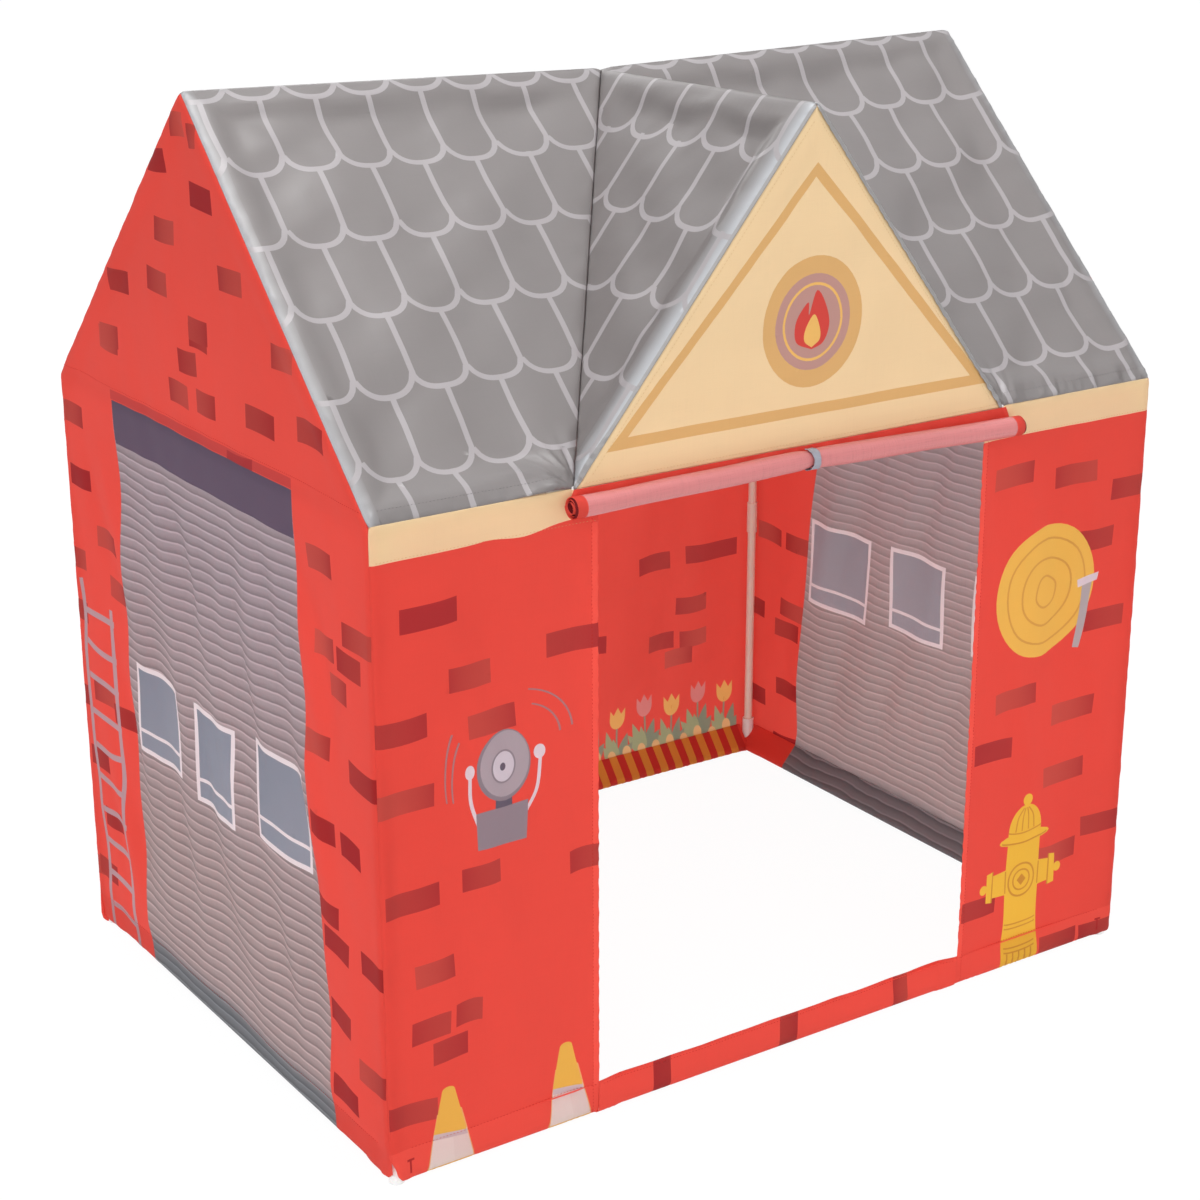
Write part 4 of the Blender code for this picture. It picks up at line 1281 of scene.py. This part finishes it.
def hem_corners(first, last, left_corner=None, right_corner=None):
    """The foot of a wall's outline from left to right. A corner is cut away before the casing starts."""
    points = []
    if left_corner:
        points += [(first + HEM_END * share, height) for share, height in left_corner]
        points.append((first + HEM_END, CASING_EDGE))
    else:
        points.append((first, CASING_EDGE))
    if right_corner:
        points.append((last - HEM_END, CASING_EDGE))
        points += [(last - HEM_END * share, height) for share, height in right_corner[::-1]]
    else:
        points.append((last, CASING_EDGE))
    return points


def bar_tack(u):
    """The short tight stitching that ends a casing near a corner."""
    return [(oblong(u - 1.2, u + 1.2, 11, 26), TACK_RED), (oblong(u - 4, u + 5, 25, 27.5), TACK_RED)]


def build_side_wall(side):
    folds = Folds(0.0066, 0.115, -HALF_DEPTH, HALF_DEPTH, 21 + side, peak=RIDGE)
    wall = Wall(point(side * HALF_WIDTH, MIDDLE_Y, 0), SIDE_OUT[side], folds, SIDE_CASING_RADIUS, PROUD, APEX_LEAN)
    corners = [None, SIDE_CORNER][:: -side]
    outline = hem_corners(-HALF_DEPTH, HALF_DEPTH, *corners)
    outline += [(HALF_DEPTH, EAVE), (0, RIDGE), (-HALF_DEPTH, EAVE)]
    # Painted shadow: a darker red strip above the shutter's box, where the seam at the eave shows through the cloth
    prints = ground(RED) + sized(SIDE_BRICKS[side], BRICK_DEEP) + [(oblong(-228, 218, 728, 739), SEAM_SHADOW_RED)]
    if side < 0:
        prints.append((brick(104, 731, 60, 14), BRICK))
    prints += shutter(*SHUTTERS[side])
    if side < 0:
        prints += ladder(-352, -270, -8, 472)
    name = SIDE_NAME[side]
    sheet = panel_mesh(f"side_cloth_{name}", wall, outline, prints)
    dress(sheet, "tent", WALL_CLOTH, "red_cloth", f"gable_wall_{name}")
    sheet.data.materials.append(WALL_REVERSE)
    thicken(sheet, inner_material=1)
    return wall


def build_back_wall():
    folds = Folds(0.007, 0.15, -HALF_WIDTH, HALF_WIDTH, 41)
    wall = Wall(point(0, BACK, 0), END_OUT[1], folds, proud=PROUD)
    outline = hem_corners(-HALF_WIDTH, HALF_WIDTH, ROUND_CORNER, ROUND_CORNER)
    outline += [(HALF_WIDTH, EAVE), (-HALF_WIDTH, EAVE)]
    prints = ground(RED) + sized(BACK_BRICKS) + planter(-HALF_WIDTH / MM + 30, HALF_WIDTH / MM - 42)
    prints.append((oblong(-600, 600, FASCIA_LOW, 740), CREAM))
    sheet = panel_mesh("back_cloth", wall, outline, prints)
    dress(sheet, "tent", WALL_CLOTH, "red_cloth", "back_wall")
    sheet.data.materials.append(WALL_REVERSE)
    thicken(sheet, inner_material=1)
    return wall


def build_pier(side):
    first, last = (-HALF_WIDTH, -HALF_OPENING) if side < 0 else (HALF_OPENING, HALF_WIDTH)
    folds = Folds(0.007, 0.15, first, last, 51 + side, hems=[side * HALF_OPENING])
    wall = Wall(point(0, FRONT, 0), END_OUT[-1], folds)
    outline = hem_corners(first, last, FRONT_CORNER if side < 0 else None, ROUND_CORNER if side > 0 else None)
    # The top follows the dormer's foot: the roof's eave outside it, and the lintel seam inside it
    foot = side * HALF_DORMER
    right, left = (EAVE, WALL_TOP)[::side]
    outline += [(last, right), (foot, right), (foot, left), (first, left)]
    name = SIDE_NAME[side]
    if side < 0:
        prints = ground(RED) + casing() + sized(LEFT_PIER_BRICKS) + alarm_bell(-378, 448)
        prints += traffic_cone(-454, 99, 29, 2) + traffic_cone(-303, 102, 28, 3)
    else:
        prints = ground(RED) + casing() + sized(RIGHT_PIER_BRICKS) + coiled_hose(378, 490) + fire_hydrant(368)
    # The fascia's lower edge, which wanders on the left
    lower = [(262, 0), (600, 0)]
    if side < 0:
        lower = [(-600, 0), (-430, 0), (-390, 2), (-350, -1), (-310, 6), (-262, 9)]
    lower = smooth_line([(u, FASCIA_LOW + rise) for u, rise in lower])
    prints.append((np.vstack([lower, [(lower[-1][0], 740), (lower[0][0], 740)]]), CREAM))
    # Painted light: the doubled hem along the doorway has the lighter casing red
    hem = sorted([side * HALF_OPENING / MM, side * (HALF_OPENING + HEM_WIDTH) / MM])
    prints.insert(1, (oblong(*hem, -100, FASCIA_LOW), CASING_PAINTED_LIGHT_RED))
    prints += bar_tack(side * (HALF_WIDTH / MM - 27))
    sheet = panel_mesh(f"pier_cloth_{name}", wall, outline, prints, step=8 * MM)
    thicken(dress(sheet, "tent", WALL_CLOTH, "red_cloth", f"front_pier_{name}"))
    return wall


def build_sill():
    folds = Folds(0, 0.15, -HALF_OPENING, HALF_OPENING, 61)
    wall = Wall(point(0, FRONT, 0), END_OUT[-1], folds)
    edge = HALF_OPENING
    outline = [(-edge, CASING_EDGE), (edge, CASING_EDGE), (edge, THRESHOLD), (-edge, THRESHOLD)]
    prints = ground(RED) + casing() + bricks([(-176, 28, 24, 60), (4, 26, 26, 64), (176, 26, 22, 60)])
    sheet = panel_mesh("sill_cloth", wall, outline, prints, step=7 * MM)
    thicken(dress(sheet, "tent", WALL_CLOTH, "red_cloth", "door_sill"))
    return wall


# Roof


def seam_between(a, b):
    return next(s for s in SEAMS if {tuple(s.a), tuple(s.b)} == {tuple(a), tuple(b)})


def roof_shingles(seed):
    """The shingles of a whole slope, from below its eave to above its ridge."""
    return shingles(-540, 540, [420 - COURSE * k for k in range(-1, 7)], -475 + SHINGLE / 2, seed)


def build_roof_front(side):
    corner, foot = CORNER[side, -1], DORMER_FOOT[side]
    rafter, ridge = seam_between(corner, APEX[side]), seam_between(APEX[side], JUNCTION)
    eave = seam_between(corner, foot)
    crumpled = [(eave, 0.0014 + 0.0008 * side), (rafter, 0.0005 + 0.0004 * side)]
    held = [seam_between(foot, JUNCTION)]
    relief = sag([rafter, ridge, eave], held, 0.0042, 71 + side, bulge=0.0016, gathered=foot, crumpled=crumpled)
    if side < 0:
        slope = Slope(corner, foot, APEX[side], JUNCTION, SLOPE_OUT[-1], relief)
    else:
        slope = Slope(foot, corner, JUNCTION, APEX[side], SLOPE_OUT[-1], relief)
    heights = np.linspace(0, slope.length, 12)
    left, right = slope.edges(heights)
    outline = list(zip(right, heights)) + list(zip(left, heights))[::-1]
    at = 0 if side < 0 else 1  # which of the two edges follows the rafter
    over_rafter = (slope.edges(0.0)[at], 0.0), (slope.edges(slope.length)[at], slope.length)
    # The edge over the rafter gets a painted highlight
    prints = ground(SLATE) + painted_highlight_edge(*over_rafter, 16, 0.75) + roof_shingles(81 + side)
    name = SIDE_NAME[side]
    valley_foot = slope.edges(0.0)[1 - at], 0.0
    sheet = panel_mesh(f"roof_cloth_front_{name}", slope, outline, prints, edge_step=0.6, gathered=valley_foot)
    thicken(dress(sheet, "tent", ROOF_CLOTH, "grey_cloth", f"roof_front_{name}"))
    return slope


def painted_highlight_edge(a, b, width, strength):
    """A painted highlight: the cloth is painted paler along a tube, for the sheen where it is stretched and curves
    over it. a and b are the tube's ends on the flat cloth.
    """
    a, b = np.array(a) / MM, np.array(b) / MM
    across = np.array([b[1] - a[1], a[0] - b[0]]) / np.linalg.norm(b - a)

    def at(p):
        share = strength * np.exp(-((((p - a) @ across) / width * 1.6) ** 2))[:, None]
        return mixed(share, SLATE, SLATE_HIGHLIGHT)

    reach = across * width
    return [(np.array([a - reach, a + reach, b + reach, b - reach]), at)]


class BackSlope(Slope):
    """The back of the roof, whose ridge dips in the middle."""

    def place(self, u, v):
        p = super().place(u, v)
        share = np.clip(1 - np.abs(u) / HALF_WIDTH, 0, 1) * v / self.length
        p[:, 2] -= RIDGE_SAG * share
        return p


def build_roof_back():
    corner = CORNER[1, 1], CORNER[-1, 1]
    seams = [seam_between(corner[0], APEX[1]), seam_between(corner[1], APEX[-1]), seam_between(*corner)]
    seams += [seam_between(APEX[1], JUNCTION), seam_between(APEX[-1], JUNCTION)]
    slope = BackSlope(*corner, APEX[1], APEX[-1], SLOPE_OUT[1], sag(seams, [], 0.0045, 91, bulge=0.0002))
    low, high = slope.edges(0.0), slope.edges(slope.length)
    outline = [(low[0], 0), (low[1], 0), (high[1], slope.length), (0, slope.length), (high[0], slope.length)]
    prints = ground(SLATE) + roof_shingles(95)
    sheet = panel_mesh("roof_cloth_back", slope, outline, prints)
    thicken(dress(sheet, "tent", ROOF_CLOTH, "grey_cloth", "roof_back"))
    return slope


def build_dormer_slope(side):
    foot = DORMER_FOOT[side]
    ridge, front = seam_between(JUNCTION, DORMER_APEX), seam_between(foot, DORMER_APEX)
    held = [seam_between(foot, JUNCTION)]
    relief = sag([ridge, front], held, 0.0040, 101 + side, strip=0.024, width=0.026, bulge=0.0016, gathered=foot)
    forward = unit(DORMER_APEX - JUNCTION)
    slope = DormerSlope(JUNCTION, forward * -side, DORMER_OUT[side], relief)
    rafter = unit(DORMER_APEX - foot)
    slope.front = front
    slope.forward = square_to(rafter, DORMER_OUT[side], point(0, -1, 0))
    slope.down_gable = square_to(rafter, DORMER_GABLE_OUT, point(-side, 0, -1))
    lip = LIP[side]
    lip_top = DORMER_APEX + slope.forward * lip - rafter * lip * LIP_MITRE
    outline = [slope.flat(p) for p in (JUNCTION, foot, foot + slope.forward * lip, lip_top, DORMER_APEX)]
    if side > 0:
        outline = outline[:1] + outline[:0:-1]
    start = 147 if side < 0 else -147
    # The edge over the rafter gets a painted highlight
    over_rafter = painted_highlight_edge(slope.flat(foot), slope.flat(DORMER_APEX), 26, 1.0)
    prints = [(oblong(-600, 600, -700, 300), SLATE)] + over_rafter
    prints += shingles(-420, 420, [16 - 92 * k for k in range(7)], start - 33, 111 + side)
    # A painted highlight: a silver strip over the rafter, whose ends reach past the sheet
    low, high = foot - rafter * 0.01, DORMER_APEX + rafter * 0.01
    back, ahead = slope.forward * -0.0015, slope.forward * 0.02
    strip = [low + back, low + ahead, high + ahead, high + back]
    prints.append((np.array([slope.flat(p) for p in strip]) / MM, SILVER_HIGHLIGHT))
    name = SIDE_NAME[side]
    sheet = panel_mesh(f"dormer_cloth_{name}", slope, outline, prints, edge_step=0.7, gathered=slope.flat(foot))
    thicken(dress(sheet, "tent", ROOF_CLOTH, "grey_cloth", f"dormer_slope_{name}"))
    deep = abs(slope.flat(foot)[1])


def build_dormer_gable():
    seams = [seam_between(DORMER_FOOT[side], DORMER_APEX) for side in (-1, 1)]
    lintel = Seam(DORMER_FOOT[-1], DORMER_FOOT[1], DORMER_GABLE_OUT, point(0, 0, 1))
    relief = sag(seams, [lintel], 0.0016, 121, strip=0.020, width=0.02, bulge=0)
    origin = (DORMER_FOOT[-1] + DORMER_FOOT[1]) / 2
    gable = Facet(origin, point(1, 0, 0), DORMER_GABLE_OUT, relief)
    # The gable's foot hangs below the eave, nearly to the top of the door's web
    drop = EAVE - WALL_TOP - 0.0003
    foot, apex = HALF_DORMER, gable.flat(DORMER_APEX)
    outline = [(-foot, -drop), (foot, -drop), (foot, 0), apex, (-foot, 0)]
    band = [(-253, 31), (262, 31), (6, 301)]
    inner = [(-227, 43), (236, 43), (5, 286)]
    prints = [(oblong(-400, 400, -100, 500), CREAM), (band, TAN), (inner, CREAM)] + medallion(8, 133)
    sheet = panel_mesh("dormer_gable_cloth", gable, outline, prints)
    thicken(dress(sheet, "tent", GABLE_CLOTH, "cream_cloth", "dormer_gable"))
    return gable


# The rolled door

ROLL_LOW, ROLL_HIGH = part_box("door_roll")
HALF_DOOR = ROLL_HIGH[0]
ROLL_RADIUS = (ROLL_HIGH[2] - ROLL_LOW[2]) / 2 - 0.0002
ROLL_Y = (ROLL_LOW[1] + ROLL_HIGH[1]) / 2
ROLL_Z = (ROLL_LOW[2] + ROLL_HIGH[2]) / 2
WEB_LOW, WEB_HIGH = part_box("door_web")
WEB_Y = (WEB_LOW[1] + WEB_HIGH[1]) / 2
TIE_HALF = 0.005
# Where the tie starts and ends round the roll, in degrees from the back, anticlockwise seen from the right
TIE_TURN = (-285, -20)
# The web's width at its top and at its foot, as a share of the door's
WEB_TOP_SHARE = 0.957
WEB_FOOT_SHARE = 0.985
DOOR_HEM = 0.013
ROLL_TURNS = 10.4
ROLL_PITCH = 0.00096
TURN_STEPS = 26
# How much smaller the roll is than its solid, and the share that it is nipped in under the tie
ROLL_SLACK = 0.0012
ROLL_NIP = 0.16
# How far the tie lifts the roll's middle, and about how far its left and right ends come down
ROLL_LIFT = 0.0060
ROLL_SAGS = (0.0028, 0.0095)
# How far the inmost turn slides out of line at the roll's ends
TELESCOPE = 0.010


def net_mesh(name, place, flat, faces):
    """A net of points as a mesh. place holds its x, y and z and flat its u and v, each as rows and columns."""
    points, cloth = (np.column_stack([np.ravel(values) for values in part]) for part in (place, flat))
    return mesh_object(name, points, faces, cloth)


def grid_faces(rows, columns):
    """Faces of a net of rows and columns of points, numbered row by row."""
    faces = []
    for i in range(rows - 1):
        for j in range(columns - 1):
            a = i * columns + j
            faces.append((a, a + 1, a + columns + 1, a + columns))
    return faces


def roll_rise(x):
    """How far the roll lies above its mean height: the tie holds it up in the middle and its ends sag."""
    share = x / HALF_DOOR
    return ROLL_LIFT - np.where(share < 0, *ROLL_SAGS) * (np.sqrt(share**2 + 0.004) - 0.063)


def build_roll():
    """The door's cloth wound on itself, loose at its ends and nipped in under the tie."""
    half = np.linspace(0.03, HALF_DOOR, 44)
    columns = np.concatenate([-half[::-1], np.linspace(-0.024, 0.024, 13), half])
    steps = round(ROLL_TURNS * TURN_STEPS)
    turn = np.arange(steps + 1) / TURN_STEPS
    angle, x = np.meshgrid(turn * math.tau, columns, indexing="ij")
    turns = angle / math.tau
    radius = ROLL_RADIUS - ROLL_SLACK - ROLL_PITCH * turns
    nip = 1 - ROLL_NIP * bell(x, 0.011)
    slack = SoftNoise(131, 0.09, 2)(np.column_stack([x.ravel() * 0.5, angle.ravel() * 0.012])).reshape(x.shape)
    fine = SoftNoise(132, 0.016, 2)(np.column_stack([x.ravel() * 0.12, angle.ravel() * 0.006])).reshape(x.shape)
    outer = np.clip(1 - turns / 3, 0.15, 1)
    radius = radius * nip - 0.0004 * outer * (1 + 0.6 * slack) - 0.00022 * outer * fine
    end_share = np.abs(x) / HALF_DOOR
    radius = radius + 0.00034 * np.sin(turns * 2.1) * end_share**12
    telescoped = 0.003 * np.sin(turns * 1.9 + 0.6) * end_share**6
    telescoped = telescoped + TELESCOPE * (turns / ROLL_TURNS) ** 2 * end_share**8
    y, z = ROLL_Y + radius * np.cos(angle), ROLL_Z + roll_rise(x) - radius * np.sin(angle)
    place = x - np.sign(x) * np.abs(telescoped), y, z
    faces = np.array(grid_faces(steps + 1, len(columns)))[:, ::-1]
    roll = net_mesh("rolled_door_cloth", place, (x + HALF_DOOR, angle * 0.009), faces)
    dress(roll, "door_roll", WEB_CLOTH, "door_cloth", "door_roll")
    # The hems at the door's sides show the printed cloth on both faces, with painted shade, a dark red, in the gaps
    # between some turns
    for material in (REVERSE_CLOTH, WEB_CLOTH, WEB_CLOTH, PAINTED_SHADE_CLOTH, PAINTED_SHADE_CLOTH):
        roll.data.materials.append(material)
    across = np.abs(x.ravel()[faces].mean(axis=1))
    turn_of = turns.ravel()[faces].mean(axis=1)
    painted_shade = (turn_of > 1.3) & (np.sin(turn_of * 2.6 + 0.4) < 0.35)
    at_hem = across > HALF_DOOR - DOOR_HEM
    roll.data.polygons.foreach_set("material_index", np.where(at_hem, np.where(painted_shade, 4, 2), 0))
    thicken(roll, 0.00035, 1)
    return roll


def build_web():
    """The strip of the door between the lintel seam and the roll."""
    columns = np.linspace(-HALF_DOOR, HALF_DOOR, 90)
    rows = np.linspace(0, 1, 26)
    s, x = np.meshgrid(rows, columns, indexing="ij")
    ripple = SoftNoise(141, 0.05, 1)(x.reshape(-1, 1)).reshape(x.shape)
    swell = np.sin(s * math.pi) * (0.0004 * ripple - 0.0008)
    top = WEB_HIGH[2] + 0.0003
    z = top + (ROLL_Z + roll_rise(x) - top) * s
    narrowed = WEB_TOP_SHARE + (WEB_FOOT_SHARE - WEB_TOP_SHARE) * s
    faces = grid_faces(len(rows), len(columns))
    place = x * narrowed, WEB_Y - 0.0006 + swell, z
    web = net_mesh("hanging_door_cloth", place, (x + HALF_DOOR, s * 0.03), faces)
    web.data.materials.append(WEB_CLOTH)
    # The whole lower edge goes with the roll, also where the roll hangs highest
    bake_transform(web)
    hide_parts("door_web")
    thicken(web)
    return web


def build_tie():
    """The ribbon round the front of the roll, from the lintel seam to under the roll's back."""
    radius = (ROLL_RADIUS - ROLL_SLACK) * 0.86 + 0.0014
    centre = np.array([ROLL_Y, ROLL_Z + float(roll_rise(0.0))])
    angles = np.linspace(*np.radians(TIE_TURN), 56)
    line = centre + radius * np.column_stack([np.cos(angles), np.sin(angles)])
    line[:, 1] = np.minimum(line[:, 1], WEB_HIGH[2] - 0.0006)
    across = np.linspace(-1, 1, 9)
    s, c = np.meshgrid(np.arange(len(line)), across, indexing="ij")
    way = np.gradient(line, axis=0)
    way /= np.linalg.norm(way, axis=1)[:, None]
    outward = np.column_stack([way[:, 1], -way[:, 0]])
    cup = -0.0004 * c**2 + 0.0002 * np.sin(s * 0.9)
    width = TIE_HALF * (1 + 0.12 * np.sin(s * 0.23))
    shift = 0.0022 * np.sin(s * 0.07)
    place = c * width + shift, line[s, 0] - outward[s, 0] * cup, line[s, 1] - outward[s, 1] * cup
    faces = grid_faces(len(line), len(across))
    lengths = np.concatenate([[0], np.cumsum(np.linalg.norm(np.diff(line, axis=0), axis=1))])
    tie = net_mesh("tie_ribbon", place, (c * TIE_HALF, lengths[s]), faces)
    dress(tie, "door_flap", RIBBON_CLOTH, "tie_ribbon", "tie_strap")
    solid = thicken(tie, 0.0005).modifiers[0]
    solid.offset = 0
    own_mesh(tie)
    return tie


# Stitching


def stitches(panel, line, pitch=4.2 * MM, length=2.8 * MM, thick=0.32 * MM, lift=0.12 * MM):
    """Small threads along a line drawn on a panel's flat cloth, each a slim grain."""
    line = np.array(line, float)
    steps = np.linalg.norm(np.diff(line, axis=0), axis=1)
    along = np.concatenate([[0], np.cumsum(steps)])
    starts = np.arange(pitch / 2, along[-1] - length, pitch)
    ends = [
        np.column_stack([np.interp(at, along, line[:, k]) for k in (0, 1)]) for at in (starts, starts + length)
    ]
    a, b = (panel.settled(e[:, 0], e[:, 1]) for e in ends)
    outward = np.asarray(panel.outward)
    points, faces = [], []
    for p, q in zip(a, b):
        way = unit(q - p)
        side = unit(np.cross(way, outward)) * thick
        rise = outward * (thick + lift)
        middle = (p + q) / 2 + outward * lift
        base = len(points)
        points += [p, q, middle + side, middle + rise, middle - side, middle - outward * thick]
        ring = [base + 2, base + 3, base + 4, base + 5]
        for i in range(4):
            faces.append((base, ring[(i + 1) % 4], ring[i]))
            faces.append((base + 1, ring[i], ring[(i + 1) % 4]))
    return points, faces


def thread_piece(name, runs, material, slot):
    """All the stitches of one colour, as one piece."""
    points, faces = [], []
    for panel, line in runs:
        run_points, run_faces = stitches(panel, line)
        base = len(points)
        points += run_points
        faces += [tuple(base + i for i in face) for face in run_faces]
    flat = np.zeros((len(points), 2))
    piece = mesh_object(name, points, faces, flat)
    return dress(piece, "tent", material, slot)


def across(panel, half, height):
    """A line of stitches that runs as far to either side of a panel's middle."""
    return panel, [(-half, height), (half, height)]


# How far lines of stitches lie from an eave and from the gable's edge, and the height of those over a side rail
EAVE_STITCHES = 0.0145
GABLE_STITCHES = 0.0115
RAIL_STITCHES = 0.7415


def build_stitching(side_walls, back, piers, sill, slopes, back_slope, gable):
    hem = CASING_SEAM
    inset = HEM_END + 0.002
    red, grey, cream = [], [], []
    for wall in side_walls:
        red.append(across(wall, HALF_DEPTH - inset, hem))
        red.append(across(wall, HALF_DEPTH - 0.012, RAIL_STITCHES))
    red.append(across(back, HALF_WIDTH - inset, hem))
    for side, wall in zip((-1, 1), piers):
        outer, inner = side * (HALF_WIDTH - inset), side * (HALF_OPENING + 0.002)
        red.append((wall, sorted([(outer, hem), (inner, hem)])))
        edge = side * (HALF_OPENING + 0.0075)
        red.append((wall, [(edge, 0.002), (edge, WALL_TOP - 0.004)]))
        low = FASCIA_LOW * MM + 0.002
        cream.append((wall, sorted([(side * (HALF_WIDTH - 0.006), low), (inner, low)])))
    red.append(across(sill, HALF_OPENING - 0.004, THRESHOLD - 0.005))
    for side, slope in zip((-1, 1), slopes):
        ends = side * (HALF_WIDTH - 0.014), side * (HALF_DORMER + 0.004)
        grey.append((slope, sorted([(end, EAVE_STITCHES) for end in ends])))
    grey.append(across(back_slope, HALF_WIDTH - 0.014, EAVE_STITCHES))
    apex = gable.flat(DORMER_APEX)
    foot = HALF_DORMER
    way = unit(np.array([foot, apex[1]]))
    inward = np.array([way[1], -way[0]]) * GABLE_STITCHES
    for sign in (-1, 1):
        start = np.array([-foot, 0]) + way * 0.02 + inward
        stop = np.array([0, apex[1]]) - way * 0.02 + inward
        cream.append((gable, [(start[0] * -sign, start[1]), (stop[0] * -sign, stop[1])]))
    cream.append(across(gable, foot - 0.012, 0.003))
    thread_piece("red_stitching", red, THREAD_RED, "red_cloth")
    thread_piece("grey_stitching", grey, THREAD_GREY, "grey_cloth")
    thread_piece("cream_stitching", cream, THREAD_CREAM, "cream_cloth")


# Frame


def dress_frame():
    for name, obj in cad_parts.items():
        joint = "joint" in name or "foot" in name or "tee" in name
        tube = any(word in name for word in ("rail", "rafter", "upright", "tube"))
        if joint or tube:
            obj.data.materials.clear()
            obj.data.materials.append(JOINT_PLASTIC if joint else TUBE_PLASTIC)


# Floor, light and camera

WHITE = (1, 1, 1, 1)
WORLD_TINT = (0.97, 0.985, 1.0, 1)
WORLD_LIGHT = 0.86
FLOOR_SIZE = 30
# How much of the floor is glow and not matt: where it is seen, and where it lights the house
FLOOR_SEEN = 0.92
FLOOR_UNSEEN = 0.45
FLOOR_GLOW = 1.03
FLOOR_GREY = (0.90, 0.92)


def build_stage():
    corners = [(x * FLOOR_SIZE, y * FLOOR_SIZE, 0) for x, y in ((-1, -1), (1, -1), (1, 1), (-1, 1))]
    floor = mesh_object("floor", corners, [(0, 1, 2, 3)])
    s = Shader(bpy.data.materials.new("studio_floor"))
    rays = s.node("ShaderNodeLightPath").outputs
    seen = s.math("MAXIMUM", rays["Is Glossy Ray"], rays["Is Transmission Ray"])
    seen = s.math("MAXIMUM", rays["Is Camera Ray"], seen)
    grain = s.spread(s.noise(s.node("ShaderNodeTexCoord").outputs["Object"], 3.0, 2), *FLOOR_GREY)
    matt = s.node("ShaderNodeBsdfDiffuse", Color=s.grey(grain))
    glow = s.node("ShaderNodeEmission", Color=WHITE, Strength=FLOOR_GLOW)
    share = s.math("MAXIMUM", s.math("MULTIPLY", seen, FLOOR_SEEN), FLOOR_UNSEEN)
    floor.data.materials.append(s.finish(s.mix_shaders(share, matt.outputs[0], glow.outputs[0])))

    world = bpy.data.worlds.new("studio")
    bpy.context.scene.world = world
    s = Shader(world)
    rays = s.node("ShaderNodeLightPath").outputs
    # Shiny cloth mirrors a bright ceiling and dim walls
    way = s.node("ShaderNodeSeparateXYZ", Vector=s.node("ShaderNodeTexCoord").outputs["Generated"])
    limits = {"From_Min": 0.35, "From_Max": 0.85, "To_Min": 0.3, "To_Max": 1.7}
    ceiling = s.node("ShaderNodeMapRange", {"interpolation_type": "SMOOTHSTEP"}, Value=way.outputs["Z"], **limits)
    surface = s.node("ShaderNodeBackground", Color=WORLD_TINT, Strength=WORLD_LIGHT).outputs[0]
    for ray, strength in (("Is Glossy Ray", ceiling.outputs[0]), ("Is Camera Ray", 1.0)):
        light = s.node("ShaderNodeBackground", Color=WHITE, Strength=strength)
        surface = s.mix_shaders(rays[ray], surface, light.outputs[0])
    s.finish(surface, "ShaderNodeOutputWorld")


# Each lamp's place, size and power, and its colour where that isn't white
LAMPS = {
    "key": ((-3.9, -3.1, 2.8), 2.4, 62),
    "fill": ((3.2, -3.2, 2.2), 3.0, 16),
    "overhead": ((-0.3, -0.3, 3.4), 1.3, 34),
    "back": ((0.6, 3.4, 2.2), 2.5, 34),
    "inside": ((0.05, MIDDLE_Y, 0.82), 0.24, 1.8, (1, 0.93, 0.90)),
}


def area_light(name, place, size, power, colour=(1, 1, 1)):
    light = bpy.data.lights.new(name, "AREA")
    light.size = size
    light.energy = power
    light.color = colour
    obj = bpy.data.objects.new(name, light)
    obj.location = place
    aim = Vector((0, MIDDLE_Y, RIDGE / 2)) - Vector(place)
    obj.rotation_euler = aim.to_track_quat("-Z", "Y").to_euler()
    bpy.context.scene.collection.objects.link(obj)


# The camera, as fitted to the photograph
CAMERA_PLACE = (-1.5808, -2.3250, 1.4243)
CAMERA_YAW = 34.01
CAMERA_PITCH = -19.13
CAMERA_ROLL = 0.1
CAMERA_LENS = 72.91


def build_camera():
    data = bpy.data.cameras.new("camera")
    data.lens = CAMERA_LENS
    data.sensor_width = 36
    data.clip_end = 100
    camera = bpy.data.objects.new("camera", data)
    camera.location = CAMERA_PLACE
    camera.rotation_mode = "XYZ"
    camera.rotation_euler = (math.radians(90 + CAMERA_PITCH), math.radians(CAMERA_ROLL), math.radians(-CAMERA_YAW))
    bpy.context.scene.collection.objects.link(camera)
    bpy.context.scene.camera = camera


def main():
    side_walls = [build_side_wall(side) for side in (-1, 1)]
    back = build_back_wall()
    piers = [build_pier(side) for side in (-1, 1)]
    sill = build_sill()
    slopes = [build_roof_front(side) for side in (-1, 1)]
    back_slope = build_roof_back()
    for side in (-1, 1):
        build_dormer_slope(side)
    gable = build_dormer_gable()
    build_web()
    build_roll()
    build_tie()
    build_stitching(side_walls, back, piers, sill, slopes, back_slope, gable)
    dress_frame()
    build_stage()
    for name, lamp in LAMPS.items():
        area_light(name, *lamp)
    build_camera()


main()
bpy.context.scene.view_settings.view_transform = "Standard"
